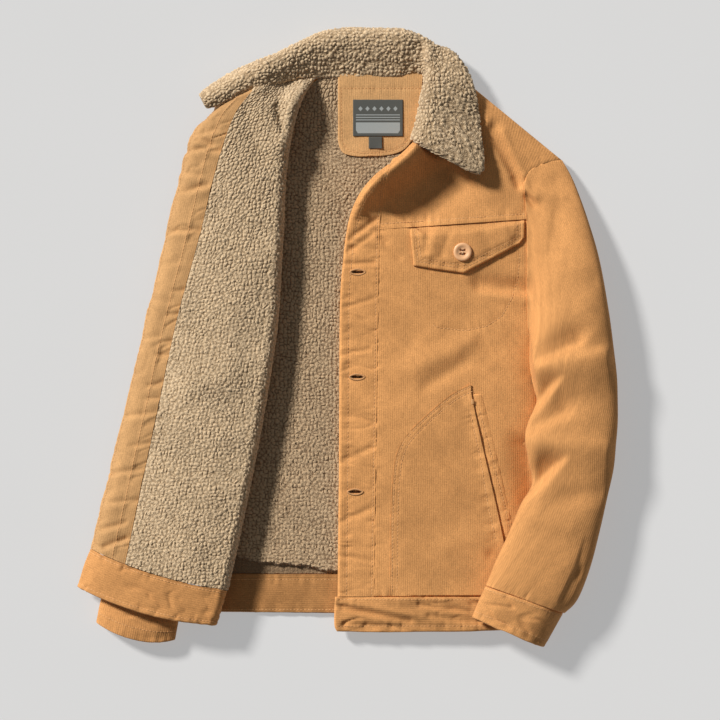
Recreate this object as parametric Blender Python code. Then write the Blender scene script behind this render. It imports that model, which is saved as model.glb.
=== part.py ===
"""Winter jacket of fine corduroy with a sherpa fleece lining, laid open on a flat surface.

The jacket lies on its back. Its left front lies closed, its right front is folded back along its
length so that the fleece shows, and the right sleeve lies under it. Left and right are the wearer's.

Frame: +X to the wearer's left, +Y towards the collar, +Z up, the surface at z = 0. Tables and sizes
are in millimetres and the meshes in metres.
"""

from collections import namedtuple
from math import cos, pi, sin

import bmesh
import bpy
from mathutils import Matrix, Vector
import numpy as np

MM = 0.001

# Cloth: wall thicknesses and the gaps between pieces.
SEAM = 0.3  # between pieces that are sewn together
LAY = 0.6  # between a piece and what it lies on
CORDUROY = 2.0
FLEECE = 7.0
FRONT_WALL = 6.5  # corduroy with the fleece behind it
SLEEVE_WALL = 4.0  # corduroy with a quilted lining
BAND_WALL = 6.0  # corduroy folded over a stiffener
FLAP_WALL = 3.5
COLLAR_WALL = 8.0
TRIM_WALL = 0.8  # label and size tab

# Left front: heights above the surface.
LEVEL = 16.6  # the front's top at its edges
SWELL = 3.0  # and how much higher it is in the middle
FRONT_WIDTH = 215.0
SIDE_DROP = 11.0  # how far the front comes down at the side seam
SIDE_ROLL = 34.0  # over this width
SHOULDER_DROP = 8.0
SHOULDER_ROLL = 28.0
SIDE_NECK = (112.0, 332.0)  # the shoulder line runs from here
SHOULDER_TIP = (257.0, 214.0)  # to here

# Right front: its fold.
FOLD_RADIUS = 13.0  # the fleece's outer face round the fold
FOLD_LOW = 10.0  # the underside of the layer that lies on the back
SIDE_INSET = 14.0  # the lining stops this far short of the side seam

# Buttons and buttonholes.
BUTTON_RADIUS = 11.2
BUTTON_THICK = 3.4
BUTTON_HOLE = 1.1
BUTTON_HOLE_OFF = 2.1
BUTTONHOLE_LONG = 20.0
BUTTONHOLE_WIDE = 2.0

Pair = namedtuple("Pair", "x_left y_left x_right y_right")
Fold = namedtuple("Fold", "x0 y0 x1 y1 width height")
Station = namedtuple(
    "Station", "x_left y_left x_right y_right seam edge_left edge_right crown tuck under_left under_right"
)
Ring = namedtuple("Ring", "x_left y_left x_right y_right edge_left edge_right crown low_left low_right bow")
Folded = namedtuple("Folded", "x_side y_side x_fold y_fold x_edge y_edge facing bow")
Neck = namedtuple("Neck", "x y z heading left back right")

# The left side seam, from the hem up: distance from the middle line.
SIDE_Y = (-360, -310, -230, -150, -80, -35, 5)
SIDE_X = (212, 216, 224, 230, 231, 227, 217)

BACK = (
    Pair(-30, 317, 110, 324),
    Pair(-60, 300, 134, 306),
    Pair(-105, 270, 172, 276),
    Pair(-142, 240, 206, 243),
    Pair(-158, 214, 230, 217),
    Pair(-148, 190, 213, 192),
    Pair(-146, 150, 217, 150),
    Pair(-147, 80, 218, 80),
    Pair(-147, 0, 216, 0),
    Pair(-156, -100, 229, -100),
    Pair(-165, -200, 226, -200),
    Pair(-174, -287, 218, -287),
)
BACK_LINING = (
    Pair(-36, 311, 90, 311),
    Pair(-50, 300, 94, 300),
    Pair(-76, 270, 122, 270),
    Pair(-100, 240, 154, 240),
    Pair(-115, 214, 180, 214),
    Pair(-132, 150, 200, 150),
    Pair(-136, 50, 204, 50),
    Pair(-140, -50, 196, -50),
    Pair(-146, -150, 195, -150),
    Pair(-154, -230, 190, -230),
    Pair(-162, -284, 184, -284),
)
BACK_BAND = (
    Pair(-166, -287.5, 203, -287.5),
    Pair(-169, -309, 201, -309),
    Pair(-172, -330, 199, -334),
)
NECK_FACING = (
    Pair(-12, 311, 91, 311),
    Pair(-12, 285, 88, 285),
    Pair(-12, 255, 83, 255),
    Pair(-12, 238, 77, 238),
    Pair(-9, 226, 69, 227),
    Pair(-2, 220, 56, 221),
    Pair(14, 217.5, 40, 218.5),
)
LABEL = (Pair(6, 286, 66, 286), Pair(6, 242, 66, 242))
SIZE_TAB = (Pair(25, 241.4, 41, 241.4), Pair(25, 227, 41, 227))

YOKE = (
    Pair(112, 332, 256.6, 213.6),
    Pair(104, 318, 249, 211.5),
    Pair(97, 300, 235, 208.5),
    Pair(90, 272, 217.8, 198.5),
    Pair(83, 242, 211.8, 189.5),
    Pair(72, 217.5, 211.6, 183),
    Pair(46, 201, 212.6, 176),
    Pair(40, 165, 214.6, 160),
    Pair(37, 129.8, 215.6, 142.3),
)
LEFT_FRONT = (
    Pair(36.9, 129.4, 215.6, 141.9),
    Pair(36.4, 94, 216, 94),
    Pair(35.7, 47, 216, 47),
    Pair(35.1, 5, 217, 5),
    Pair(34.5, -35, 227, -35),
    Pair(33.9, -80, 231, -80),
    Pair(32.8, -150, 230, -150),
    Pair(31.7, -230, 224, -230),
    Pair(30.5, -311, 216, -311),
)
PLACKET = (
    Pair(34, 193, 41.6, 193),
    Pair(20.4, 177, 39.8, 177),
    Pair(9, 158, 38.0, 158),
    Pair(2.4, 141, 36.8, 141),
    Pair(-2.5, 115, 36.3, 115),
    Pair(-6, 90, 36, 90),
    Pair(-9.6, 47, 35.3, 47),
    Pair(-10.5, -50, 33.9, -50),
    Pair(-11, -156, 32.3, -156),
    Pair(-12, -250, 31, -250),
    Pair(-12.5, -311, 30.1, -311),
)
LEFT_BAND = (
    Pair(-15.5, -311.6, 216, -311.6),
    Pair(-16.4, -325, 215, -325),
    Pair(-16.4, -346, 213.5, -346),
    Pair(-13.5, -353.5, 213, -352.5),
)
BUTTONHOLES = ((11.6, 78.6), (10.8, -47.4), (8.6, -185.4))

# The flap: its top edge in the yoke seam and its pointed lower edge, from left to right.
FLAP_TOP = ((73.5, 131.8), (100, 133.6), (125, 135.3), (138, 136.2), (165, 138.1), (190, 139.9), (206, 141), (212.5, 141.4))
FLAP_END = ((78.5, 86), (103, 82), (127, 78.6), (139, 77), (165, 90.5), (190, 103.5), (206, 112.5), (211.5, 120))
FLAP_BUTTON = (137.5, 102.5)
HAND_POCKET = (
    Pair(146, -57, 147.6, -57),
    Pair(124.8, -67.8, 148, -67.8),
    Pair(97, -90.6, 152.5, -90.6),
    Pair(69.6, -118, 158.5, -118),
    Pair(58.4, -140, 163.5, -140),
    Pair(54, -167, 169.8, -167),
    Pair(51.6, -212, 180, -212),
    Pair(50.4, -309, 200, -309),
)
WELT = (
    Pair(149, -68, 160, -68),
    Pair(154.5, -90.6, 166, -90.6),
    Pair(172, -167, 184, -167),
    Pair(189, -240, 200, -240),
)

# Ridges and troughs of the laid cloth.
FRONT_FOLDS = (
    Fold(20, 176, 74, 216, 9, 6),
    Fold(176, 250, 206, 184, 9, -3.5),
    Fold(82, -38, 146, -4, 13, 2),
    Fold(196, -142, 214, -190, 10, -3),
)
SLEEVE_FOLDS = (
    Fold(216, 190, 250, 196, 7, -5),
    Fold(217, -32, 302, -12, 10, 4),
    Fold(228, -72, 258, -42, 9, -9),
    Fold(215, -110, 312, -120, 12, 4),
    Fold(222, -172, 260, -140, 9, -9),
)

# Where the left sleeve is sewn in, from the underarm to the shoulder tip.
ARMHOLE = (
    (217.8, 8),
    (216.8, 47),
    (216.9, 94),
    (216.5, 142),
    (213.9, 176),
    (212.9, 188),
    (219.2, 198.2),
    (236.0, 207.9),
    (257.6, 212.2),
)
LEFT_SLEEVE = (
    Station(217.8, 8, 257.6, 212.2, 1.00, 24, 9, 26, 8, 4, 4),
    Station(218, 0, 266, 198, 0.70, 25, 13, 34, 8, 4, 6),
    Station(218, -7, 274, 180, 0.45, 26, 16, 40, 9, 4, 12),
    Station(218, -13, 287, 143, 0.20, 27, 18, 46, 10, 5, 17),
    Station(218, -20, 301, 94, 0.05, 28, 20, 50, 12, 6, 19),
    Station(218, -28, 312, 33, 0, 29, 21, 52, 12, 8, 20),
    Station(220, -45, 318, -12, 0, 30, 21, 52, 6, 18, 20),
    Station(223, -62, 322, -47, 0, 31, 21, 50, 0, 29.4, 20),
    Station(226, -77, 323, -76, 0, 31, 21, 48, 0, 29.6, 20),
    Station(216, -101, 323, -102, 0, 31, 21, 50, 0, 30.4, 20),
    Station(212, -121, 321, -127, 0, 32, 21, 50, 0, 31, 20),
    Station(216, -146, 318, -158, 0, 32, 21, 48, 0, 31, 20),
    Station(221, -175, 310.5, -192, 0, 32, 21, 47, 0, 31, 20),
    Station(207, -200, 302.5, -228, 0, 33, 21, 50, 0, 32.4, 20),
    Station(191, -237, 292, -270, 0, 34, 21, 52, 0, 32.5, 20),
    Station(177, -267, 281, -302, 0, 34, 21, 52, 0, 32.5, 20),
    Station(165, -296.6, 263, -331, 0, 34, 20, 50, 0, 32.3, 19),
)
LEFT_CUFF = (
    Ring(164.7, -297.3, 258.5, -330.3, 34, 18, 50.5, 22, 2, 0),
    Ring(156, -316, 247, -351, 34, 18, 49, 22, 2, 0),
    Ring(148, -335, 235, -372, 33, 18, 47, 22, 3, 0),
)
RIGHT_ARMHOLE = ((-190, 188), (-176, 184), (-160, 176), (-143.5, 165))
RIGHT_SLEEVE = (
    Station(-190, 188, -143.5, 165, 1, 9, 9, 19, 0, 8.4, 8.4),
    Station(-194, 130, -148.4, 112, 0, 10, 10, 24, 0, 9.4, 9.4),
    Station(-207, 60, -154, 42, 0, 10, 10, 26, 0, 9.4, 9.4),
    Station(-224, -40, -160, -56, 0, 10, 10, 27, 0, 9.4, 9.4),
    Station(-244, -140, -168, -160, 0, 10, 10, 28, 0, 9.4, 9.4),
    Station(-266, -228, -182, -250, 0, 10, 10, 28, 0, 9.4, 9.4),
    Station(-287, -284, -196, -308, 0, 10, 10, 27, 0, 9.4, 9.4),
)
RIGHT_CUFF = (
    Ring(-289, -285, -196, -308.6, 12, 12, 27, 0, 0, 0),
    Ring(-297, -314, -203, -338, 12, 12, 26, 0, 0, 5),
    Ring(-303, -343, -208, -364, 11, 11, 24, 0, 0, 10),
)

# The right front from the neck to the hem seam: side seam, fold and front edge, with the share of
# the way from the fold to the edge where the facing starts, and how far the line bows towards the collar.
RIGHT_FRONT = (
    Folded(-84, 282, -41, 308, -166, 270, 0.60, 9),
    Folded(-100, 262, -55, 284, -184, 255, 0.60, 6),
    Folded(-120, 235, -67, 245, -194, 236, 0.62, 3),
    Folded(-140, 175, -74, 190, -205, 195, 0.66, 0),
    Folded(-148, 100, -78, 110, -222, 122, 0.70, 0),
    Folded(-148, 10, -85, 8, -244, 28, 0.755, 0),
    Folded(-155, -100, -104, -112, -270, -82, 0.755, -2),
    Folded(-164, -205, -126, -222, -294, -180, 0.745, -4),
    Folded(-175, -290, -143.5, -302, -311.5, -252, 0.735, -7),
)
RIGHT_BAND = (
    Folded(-175.2, -290.7, -143.7, -302.7, -311.7, -252.7, 0.735, -7),
    Folded(-178, -312, -149, -324, -319, -276, 0.735, -8),
    Folded(-180, -333, -155.5, -345, -325, -297.5, 0.735, -9),
)
# Height of the folded-back front, by the share of the way from the fold to the front edge.
SHARE = (0, 0.1, 0.3, 0.55, 0.75, 0.9, 0.97, 1)
HEIGHT = (36, 38.5, 42, 42, 39, 32, 23, 16)
# Buttons on the hidden face: place down the table of the right front, share and gap over the curved cloth.
FRONT_BUTTONS = ((3.9, 0.885, 2.7), (5.3, 0.885, 1.7), (6.6, 0.885, 1.6))

# The collar across, from the neck seam over the roll to the free edge: distance out and height.
LEAF_TURNED = ((0, 0), (-5, 8), (-6, 17), (-2, 25), (7, 30), (19, 30), (38, 25.5), (58, 21.5), (75, 19))
LEAF_BACK = ((0, 0), (14, 5), (28, 10), (41, 13), (51, 11), (57, 4), (56, -4), (49, -10), (38, -12.5))
LEAF_OPEN = ((0, 0), (4, 6), (9, 10), (15, 11), (21, 7), (25, 0), (28, -8), (30, -15), (31, -21))
COLLAR = (
    Neck(-171, 274, 34, 116, 0, 0, 0.68),
    Neck(-150, 281, 36, 116, 0, 0, 0.9),
    Neck(-126, 292, 37, 116, 0, 0, 1),
    Neck(-97, 302, 35, 114, 0, 0.1, 0.95),
    Neck(-70, 309.5, 28, 110, 0, 0.35, 0.6),
    Neck(-43, 314, 20, 102, 0, 0.7, 0.25),
    Neck(-12, 315, 14, 93, 0, 1, 0),
    Neck(35, 315, 13.5, 90, 0, 1, 0),
    Neck(60, 317, 13.5, 82, 0.05, 0.95, 0),
    Neck(78, 320, 17, 66, 0.2, 0.66, 0),
    Neck(90, 314, 24, 36, 0.5, 0.2, 0),
    Neck(91, 292, 23, 12, 0.78, 0, 0),
    Neck(87, 262, 21.5, -6, 0.94, 0, 0),
    Neck(80, 232, 21, -25, 1.08, 0, 0),
)

COLOURS = {
    "corduroy": (0.53, 0.26, 0.10, 1),
    "fleece": (0.50, 0.36, 0.22, 1),
    "label_cloth": (0.10, 0.11, 0.12, 1),
    "button_plastic": (0.66, 0.40, 0.22, 1),
}


def through(rows, count):
    """A smooth curve through the rows of a table, read at even steps from the first to the last."""
    table = np.array(rows, float)
    place = np.linspace(0, len(table) - 1, count)
    first = np.minimum(place.astype(int), len(table) - 2)
    t = (place - first)[:, None]
    ends = np.vstack([2 * table[0] - table[1], table, 2 * table[-1] - table[-2]])
    a, b, c, d = (ends[first + k] for k in range(4))
    bend = (2 * a - 5 * b + 4 * c - d) * t**2 + (3 * b - a - 3 * c + d) * t**3
    return 0.5 * (2 * b + (c - a) * t + bend)


def spaced(count):
    """Shares from 0 to 1 that lie closer together at both ends."""
    return (1 - np.cos(np.linspace(0, pi, count))) / 2


def between(left, right, share):
    """A grid of points on straight lines from the left edge to the right edge."""
    share = np.asarray(share)[None, :, None]
    return left[:, None] * (1 - share) + right[:, None] * share


def ridges(x, y, folds):
    """Height that folds add: a bell across the line of each fold, round at its ends."""
    height = np.zeros_like(x)
    for f in folds:
        run = np.array([f.x1 - f.x0, f.y1 - f.y0])
        along = np.clip(((x - f.x0) * run[0] + (y - f.y0) * run[1]) / (run @ run), 0, 1)
        off = np.hypot(x - f.x0 - along * run[0], y - f.y0 - along * run[1])
        height += f.height * np.exp(-((off / f.width) ** 2))
    return height


def quarter(t):
    """How far a quarter circle has come down after the share t of its width."""
    return 1 - np.sqrt(1 - np.clip(t, 0, 1) ** 2)


def side_x(y):
    return np.interp(y, SIDE_Y, SIDE_X)


def body_height(x, y):
    """Top of the left front: a low swell that rolls down to the side seam and to the shoulder line."""
    height = LEVEL + SWELL * np.sin(pi * np.clip(x / FRONT_WIDTH, 0, 1))
    below_arm = np.clip((5 - y) / 50, 0, 1)
    height = height - SIDE_DROP * below_arm * quarter((x - side_x(y) + SIDE_ROLL) / SIDE_ROLL)
    line = np.subtract(SHOULDER_TIP, SIDE_NECK)
    line = line / np.hypot(*line)
    inside = (x - SIDE_NECK[0]) * line[1] - (y - SIDE_NECK[1]) * line[0]
    height = height - SHOULDER_DROP * quarter(1 - inside / SHOULDER_ROLL)
    return height + ridges(x, y, FRONT_FOLDS)


def resting_height(x, y):
    """What the left sleeve lies on: the left front up to its side, then the surface."""
    top = body_height(x, y) + 1.4 + 3.0 * np.clip((-195 - y) / 30, 0, 1)
    past = np.clip((x - side_x(y) + 4) / 18, 0, 1)
    under_arm = np.clip((8 - y) / 16, 0, 1)
    return top * (1 - past) * under_arm


def laid(rows, down, across, lift=0.0):
    """A panel's top as it lies on the left body, lifted by what it lies on."""
    table = through(rows, down)
    grid = between(table[:, :2], table[:, 2:4], np.linspace(0, 1, across))
    return on_body(grid, lift)


def on_body(plan, lift):
    x, y = plan[..., 0], plan[..., 1]
    return np.dstack([x, y, body_height(x, y) + lift])


def flat(rows, down, across, top):
    table = through(rows, down)
    grid = between(table[:, :2], table[:, 2:4], np.linspace(0, 1, across))
    return np.dstack([grid, np.full(grid.shape[:2], top)])


def below(points, thickness, floor=None):
    """The underside of a lying panel, no lower than the floor it is given."""
    under = points.copy()
    under[..., 2] -= thickness
    if floor is not None:
        under[..., 2] = np.maximum(under[..., 2], floor)
    return under


def normals(points, ring=False):
    """Unit normals of a grid whose rows run down and whose columns run from left to right."""
    along = np.gradient(points, axis=0)
    if ring:
        across = np.roll(points, -1, axis=1) - np.roll(points, 1, axis=1)
    else:
        across = np.gradient(points, axis=1)
    normal = np.cross(along, across)
    return normal / np.linalg.norm(normal, axis=2, keepdims=True)


def inward(points, distance, ring=False, square=False):
    """The grid moved in along its normals; square keeps its left and right edges level."""
    normal = normals(points, ring)
    if square:
        normal[:, (0, -1), 2] = 0
        normal = normal / np.linalg.norm(normal, axis=2, keepdims=True)
    return points - distance * normal


def paint(name):
    """The Principled material of one cloth or trim."""
    material = bpy.data.materials.get(name)
    if material is None:
        material = bpy.data.materials.new(name)
        material.use_nodes = True
        shader = material.node_tree.nodes["Principled BSDF"]
        shader.inputs["Base Color"].default_value = COLOURS[name]
        shader.inputs["Roughness"].default_value = 0.35 if name == "button_plastic" else 0.9
    return material


def place(name, mesh, colour):
    part = bpy.data.objects.new(name, mesh)
    part.data.materials.append(paint(colour))
    bpy.context.scene.collection.objects.link(part)
    return part


def wall(name, outer, inner, colour, ring=False):
    """A closed cloth wall between an outer and an inner grid; a ring closes on itself across."""
    rows, columns = outer.shape[:2]
    front = np.arange(rows * columns).reshape(rows, columns)
    if ring:
        front = np.hstack([front, front[:, :1]])
    rear = front + rows * columns
    faces = []
    for near, far in ((front, True), (rear, False)):
        corner = (near[:-1, :-1], near[1:, :-1], near[1:, 1:], near[:-1, 1:])
        faces.append(np.stack(corner if far else corner[::-1], axis=-1).reshape(-1, 4))
    edges = [(front[0], rear[0]), (front[-1][::-1], rear[-1][::-1])]
    if not ring:
        edges += [(front[::-1, 0], rear[::-1, 0]), (front[:, -1], rear[:, -1])]
    for near, far in edges:
        faces.append(np.stack([near[:-1], near[1:], far[1:], far[:-1]], axis=-1))
    points = np.vstack([outer.reshape(-1, 3), inner.reshape(-1, 3)]) * MM
    mesh = bpy.data.meshes.new(name)
    mesh.from_pydata(points.tolist(), [], np.vstack(faces).tolist())
    mesh.update()
    return place(name, mesh, colour)


def cut(part, cutter):
    """Cuts one closed mesh out of a part and leaves the cutter out of the build."""
    cutter.hide_render = True
    cutter.display_type = "WIRE"
    modifier = part.modifiers.new("cut", "BOOLEAN")
    modifier.operation = "DIFFERENCE"
    modifier.solver = "EXACT"
    modifier.object = cutter


def blocks(name, places, size, height):
    """Upright blocks, one at each place, as one cutter."""
    shape = bmesh.new()
    for x, y in places:
        box = Matrix.Translation((x * MM, y * MM, height * MM)) @ Matrix.Diagonal((*(s * MM for s in size), 1))
        bmesh.ops.create_cube(shape, size=1, matrix=box)
    mesh = bpy.data.meshes.new(name)
    shape.to_mesh(mesh)
    shape.free()
    return place(name, mesh, "corduroy")


def button(name, centre, axis, holes=True):
    """A four-hole button: a disc with a bevelled rim, lying across its axis; the hidden ones stay plain."""
    turn = Vector(axis).to_track_quat("Z", "Y").to_matrix().to_4x4()
    pose = Matrix.Translation(Vector(centre) * MM) @ turn
    shape = bmesh.new()
    bmesh.ops.create_cone(
        shape, cap_ends=True, segments=20, radius1=BUTTON_RADIUS * MM, radius2=BUTTON_RADIUS * MM,
        depth=BUTTON_THICK * MM, matrix=pose,
    )
    rims = [e for e in shape.edges if all(len(f.verts) in (4, 20) for f in e.link_faces)]
    rims = [e for e in rims if any(len(f.verts) == 20 for f in e.link_faces)]
    bmesh.ops.bevel(shape, geom=rims, offset=0.8 * MM, segments=1, affect="EDGES")
    disc = bpy.data.meshes.new(name)
    shape.to_mesh(disc)
    shape.free()
    part = place(name, disc, "button_plastic")
    if not holes:
        return part
    pins = bmesh.new()
    for k in range(4):
        angle = pi / 4 + k * pi / 2
        off = Vector((cos(angle), sin(angle), 0)) * BUTTON_HOLE_OFF * 2**0.5 * MM
        bmesh.ops.create_cone(
            pins, cap_ends=True, segments=6, radius1=BUTTON_HOLE * MM, radius2=BUTTON_HOLE * MM,
            depth=BUTTON_THICK * 3 * MM, matrix=pose @ Matrix.Translation(off),
        )
    drill = bpy.data.meshes.new(name + "_holes")
    pins.to_mesh(drill)
    pins.free()
    cut(part, place(name + "_holes", drill, "button_plastic"))
    return part


def arch(share, power):
    """A rounded arch: 0 at both ends and 1 in the middle, flatter with a higher power."""
    return (1 - np.abs(2 * share - 1) ** power) ** (1 / power)


def sleeve_plan(table, seam, share, tuck):
    """Lines across the sleeve that follow the armhole near it and straighten down the arm."""
    left = table[:, :2] + np.stack([tuck, np.zeros_like(tuck)], axis=1)
    straight = between(left, table[:, 2:4], share)
    curve = through(seam, 201)
    read = np.stack([np.interp(share, np.linspace(0, 1, 201), curve[:, k]) for k in range(2)], axis=1)
    chord = curve[0] * (1 - share[:, None]) + curve[-1] * share[:, None]
    return straight + table[:, 4, None, None] * (read - chord)


def sleeve(side, stations, seam, folds, down, across, floor, joins=None):
    """The two pieces of a sleeve: an arch above and a flat underside that lies on the floor below.

    joins gives the height of the body, which the arch takes over where it follows the armhole.
    """
    table = through(stations, down)
    share = spaced(across)
    plan = sleeve_plan(table, seam, share, np.zeros(down))
    edge = table[:, 5:6] * (1 - share) + table[:, 6:7] * share
    height = edge + (table[:, 7:8] - edge) * arch(share, 2.0)
    height = height + ridges(plan[..., 0], plan[..., 1], folds) * arch(share, 2.0)
    if joins:
        height = height + table[:, 4:5] * (joins(plan[..., 0], plan[..., 1]) + 1 - height)
    top = np.dstack([plan, height])
    wall(f"{side}_sleeve_top", top, inward(top, SLEEVE_WALL, square=True), "corduroy")

    table = through(stations, down * 2 // 3)
    share = spaced(9)
    plan = sleeve_plan(table, seam, share, table[:, 8])
    edge = table[:, 9:10] * (1 - share) + table[:, 10:11] * share - 2 * SEAM
    ground = floor(plan[..., 0], plan[..., 1])
    height = np.maximum(ground, edge - (edge - ground) * 1.06 * arch(share, 3.0))
    under = np.dstack([plan, height])[:, ::-1]
    raised = inward(under, SLEEVE_WALL, square=True)
    wall(f"{side}_sleeve_under", under, raised, "corduroy")


def cuff(side, rings, floor):
    """A band round the wrist: an arch above and a flat underside, closed all round, with a bowed lower edge."""
    table = through(rings, 4)
    share = spaced(11)
    over = between(table[:, :2], table[:, 2:4], share)
    over[..., 1] -= table[:, 9:10] * 4 * share * (1 - share)
    edge = table[:, 4:5] * (1 - share) + table[:, 5:6] * share
    low = table[:, 7:8] * (1 - share) + table[:, 8:9] * share
    low = np.maximum(low, floor(over[..., 0], over[..., 1]))
    low = np.minimum(low, edge - BAND_WALL)
    up = np.dstack([over, edge + (table[:, 6:7] - edge) * arch(share, 2.2)])
    down = np.dstack([over, edge - (edge - low) * np.minimum(1, 1.06 * arch(share, 3.0))])
    outer = np.concatenate([up, down[:, -2:0:-1]], axis=1)
    wall(f"{side}_cuff", outer, inward(outer, BAND_WALL * 0.75, ring=True), "corduroy", ring=True)


def surface(x, y):
    return np.zeros_like(x)


def folded_front(rows, down):
    """The right front's inner face, from its front edge over to the fold and back to the side seam.

    The columns run from the front edge, through the start of the facing, to the fold, round it in a
    half circle and along the hidden layer to the side. Returns the grid and the first lining column.
    """
    table = through(rows, down)
    side, fold, edge = table[:, 0:2], table[:, 2:4], table[:, 4:6]
    upper, lower = edge - fold, side - fold
    long_up = np.linalg.norm(upper, axis=1)[:, None]
    long_low = np.linalg.norm(lower, axis=1)[:, None]
    way_up, way_low = upper / long_up, lower / long_low
    start = FOLD_RADIUS / long_up
    facing = table[:, 6:7]
    on_facing = 1 + (facing - 1) * np.array([[0, 0.1, 0.3, 0.6, 0.85, 1]])
    on_lining = facing - 0.009 + (start - facing + 0.009) * np.linspace(0, 1, 8)[None]
    share = np.hstack([on_facing, on_lining])
    high = np.interp(share, SHARE, HEIGHT)
    plan = fold[:, None] + way_up[:, None] * (share * long_up)[..., None]
    plan[..., 1] += table[:, 7:8] * 4 * share * (1 - share)
    flat_part = np.dstack([plan, high])
    turn = np.radians(np.linspace(66, -90, 6))
    lean = ((np.sin(turn) + 1) / 2)[None, :, None]
    way = way_up[:, None] * lean + way_low[:, None] * (1 - lean)
    back = FOLD_RADIUS * (1 - np.cos(turn))[None, :, None]
    plan = fold[:, None] + way * back
    high_end = high[:, -1:]
    middle = (high_end + FOLD_LOW) / 2
    round_part = np.dstack([plan, middle + (high_end - FOLD_LOW) / 2 * np.sin(turn)[None]])
    reach = np.hstack([
        FOLD_RADIUS + (long_low - SIDE_INSET - FOLD_RADIUS) * np.array([[0.5, 1]]),
        long_low - SIDE_INSET / 2,
        long_low,
    ])
    plan = fold[:, None] + way_low[:, None] * reach[..., None]
    hidden = np.dstack([plan, np.full(plan.shape[:2], FOLD_LOW)])
    return np.concatenate([flat_part, round_part, hidden], axis=1), on_facing.shape[1]


def right_front():
    """The folded-back front: corduroy inside the fold, fleece and facing on it, hem band and buttons."""
    face, first = folded_front(RIGHT_FRONT, 17)
    wall("right_lining", face[:, first:-2], inward(face, FLEECE)[:, first:-2], "fleece")
    facing = inward(face, 2.0)[:, :first]
    wall("right_facing", facing, inward(face, FLEECE - 0.2)[:, :first], "corduroy")
    shell, inside = inward(face, FLEECE + LAY), inward(face, FLEECE + LAY + CORDUROY)
    for grid in (shell, inside):
        grid[:, -2, 2] -= 4.5
        grid[:, -1, 2] -= 14.5
    wall("right_front", shell, inside, "corduroy")
    band = folded_front(RIGHT_BAND, 4)[0][:, :-2]
    wall("right_hem_band", inward(band, 1.0), inward(band, 1.0 + BAND_WALL), "corduroy")
    under, normal = inward(face, FLEECE + LAY + CORDUROY + BUTTON_THICK / 2), normals(face)
    shares = np.array([0, 0.1, 0.3, 0.6, 0.85, 1])
    for number, (row, share, gap) in enumerate(FRONT_BUTTONS, 1):
        r = int(round(row / (len(RIGHT_FRONT) - 1) * (len(face) - 1)))
        start = RIGHT_FRONT[int(row)].facing
        at = np.interp((1 - share) / (1 - start), shares, range(first))
        c = int(at)
        spot = under[r, c] * (1 - at + c) + under[r, c + 1] * (at - c)
        axis = normal[r, c] * (1 - at + c) + normal[r, c + 1] * (at - c)
        button(f"front_button_{number}", spot - gap * axis, -axis, holes=False)


def collar():
    """The fleece collar: a curve across that passes from open, to lying back, to turned down."""
    table = through(COLLAR, 27)
    leaves = [through(leaf, 12) for leaf in (LEAF_TURNED, LEAF_BACK, LEAF_OPEN)]
    across = sum(table[:, 4 + k, None, None] * leaf[None] for k, leaf in enumerate(leaves))
    way = np.radians(table[:, 3])
    x = table[:, 0:1] + across[..., 0] * np.cos(way)[:, None]
    y = table[:, 1:2] + across[..., 0] * np.sin(way)[:, None]
    outer = np.dstack([x, y, table[:, 2:3] + across[..., 1]])
    wall("collar", outer, inward(outer, COLLAR_WALL), "fleece")


def back():
    """The back on the surface: corduroy, fleece, hem band, and the neck facing with its label."""
    panel = flat(BACK, 23, 2, CORDUROY)
    wall("back_panel", panel, below(panel, CORDUROY), "corduroy")
    lining = flat(BACK_LINING, 21, 2, CORDUROY + SEAM + FLEECE)
    lining[-1, :, 2] -= 2.5
    wall("back_lining", lining, below(lining, FLEECE, CORDUROY + SEAM), "fleece")
    band = flat(BACK_BAND, 4, 2, BAND_WALL)
    wall("back_hem_band", band, below(band, BAND_WALL), "corduroy")
    top = CORDUROY + 2 * SEAM + FLEECE + CORDUROY
    facing = flat(NECK_FACING, 13, 2, top)
    wall("neck_facing", facing, below(facing, CORDUROY), "corduroy")
    for name, rows in (("neck_label", LABEL), ("size_tab", SIZE_TAB)):
        tab = flat(rows, 2, 2, top + SEAM + TRIM_WALL)
        wall(name, tab, below(tab, TRIM_WALL), "label_cloth")


def left_front():
    """The closed front on the back: yoke, front, placket, hem band, flap and pocket."""
    floor = CORDUROY + 2 * SEAM
    for name, rows, down, across in (("left_yoke", YOKE, 13, 11), ("left_front", LEFT_FRONT, 19, 12)):
        top = laid(rows, down, across)
        wall(name, top, below(top, FRONT_WALL, floor), "corduroy")
    placket = laid(PLACKET, 21, 5, 0.4)
    strip = wall("left_placket", placket, below(placket, FRONT_WALL), "corduroy")
    cut(strip, blocks("buttonholes", BUTTONHOLES, (BUTTONHOLE_LONG, BUTTONHOLE_WIDE, 40), LEVEL))
    band = laid(LEFT_BAND, 6, 12, 0.8)
    wall("left_hem_band", band, below(band, BAND_WALL + 1, floor), "corduroy")
    share = np.linspace(0, 1, 5)
    outline = np.swapaxes(between(np.array(FLAP_TOP), np.array(FLAP_END), share), 0, 1)
    flap = on_body(outline, LAY + FLAP_WALL)
    wall("chest_flap", flap, below(flap, FLAP_WALL), "corduroy")
    x, y = FLAP_BUTTON
    rest = body_height(np.array(x), np.array(y)) + 2 * LAY + FLAP_WALL
    button("flap_button", (x, y, float(rest) + BUTTON_THICK / 2), (0, 0, 1))
    for name, rows, down, across in (("hand_pocket", HAND_POCKET, 15, 8), ("pocket_welt", WELT, 10, 3)):
        piece = laid(rows, down, across, LAY + CORDUROY)
        wall(name, piece, below(piece, CORDUROY), "corduroy")


for old in list(bpy.data.objects):
    bpy.data.objects.remove(old)
back()
left_front()
sleeve("left", LEFT_SLEEVE, ARMHOLE, SLEEVE_FOLDS, 33, 12, resting_height, body_height)
cuff("left", LEFT_CUFF, resting_height)
sleeve("right", RIGHT_SLEEVE, RIGHT_ARMHOLE, (), 10, 9, surface)
cuff("right", RIGHT_CUFF, surface)
right_front()
collar()
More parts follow.
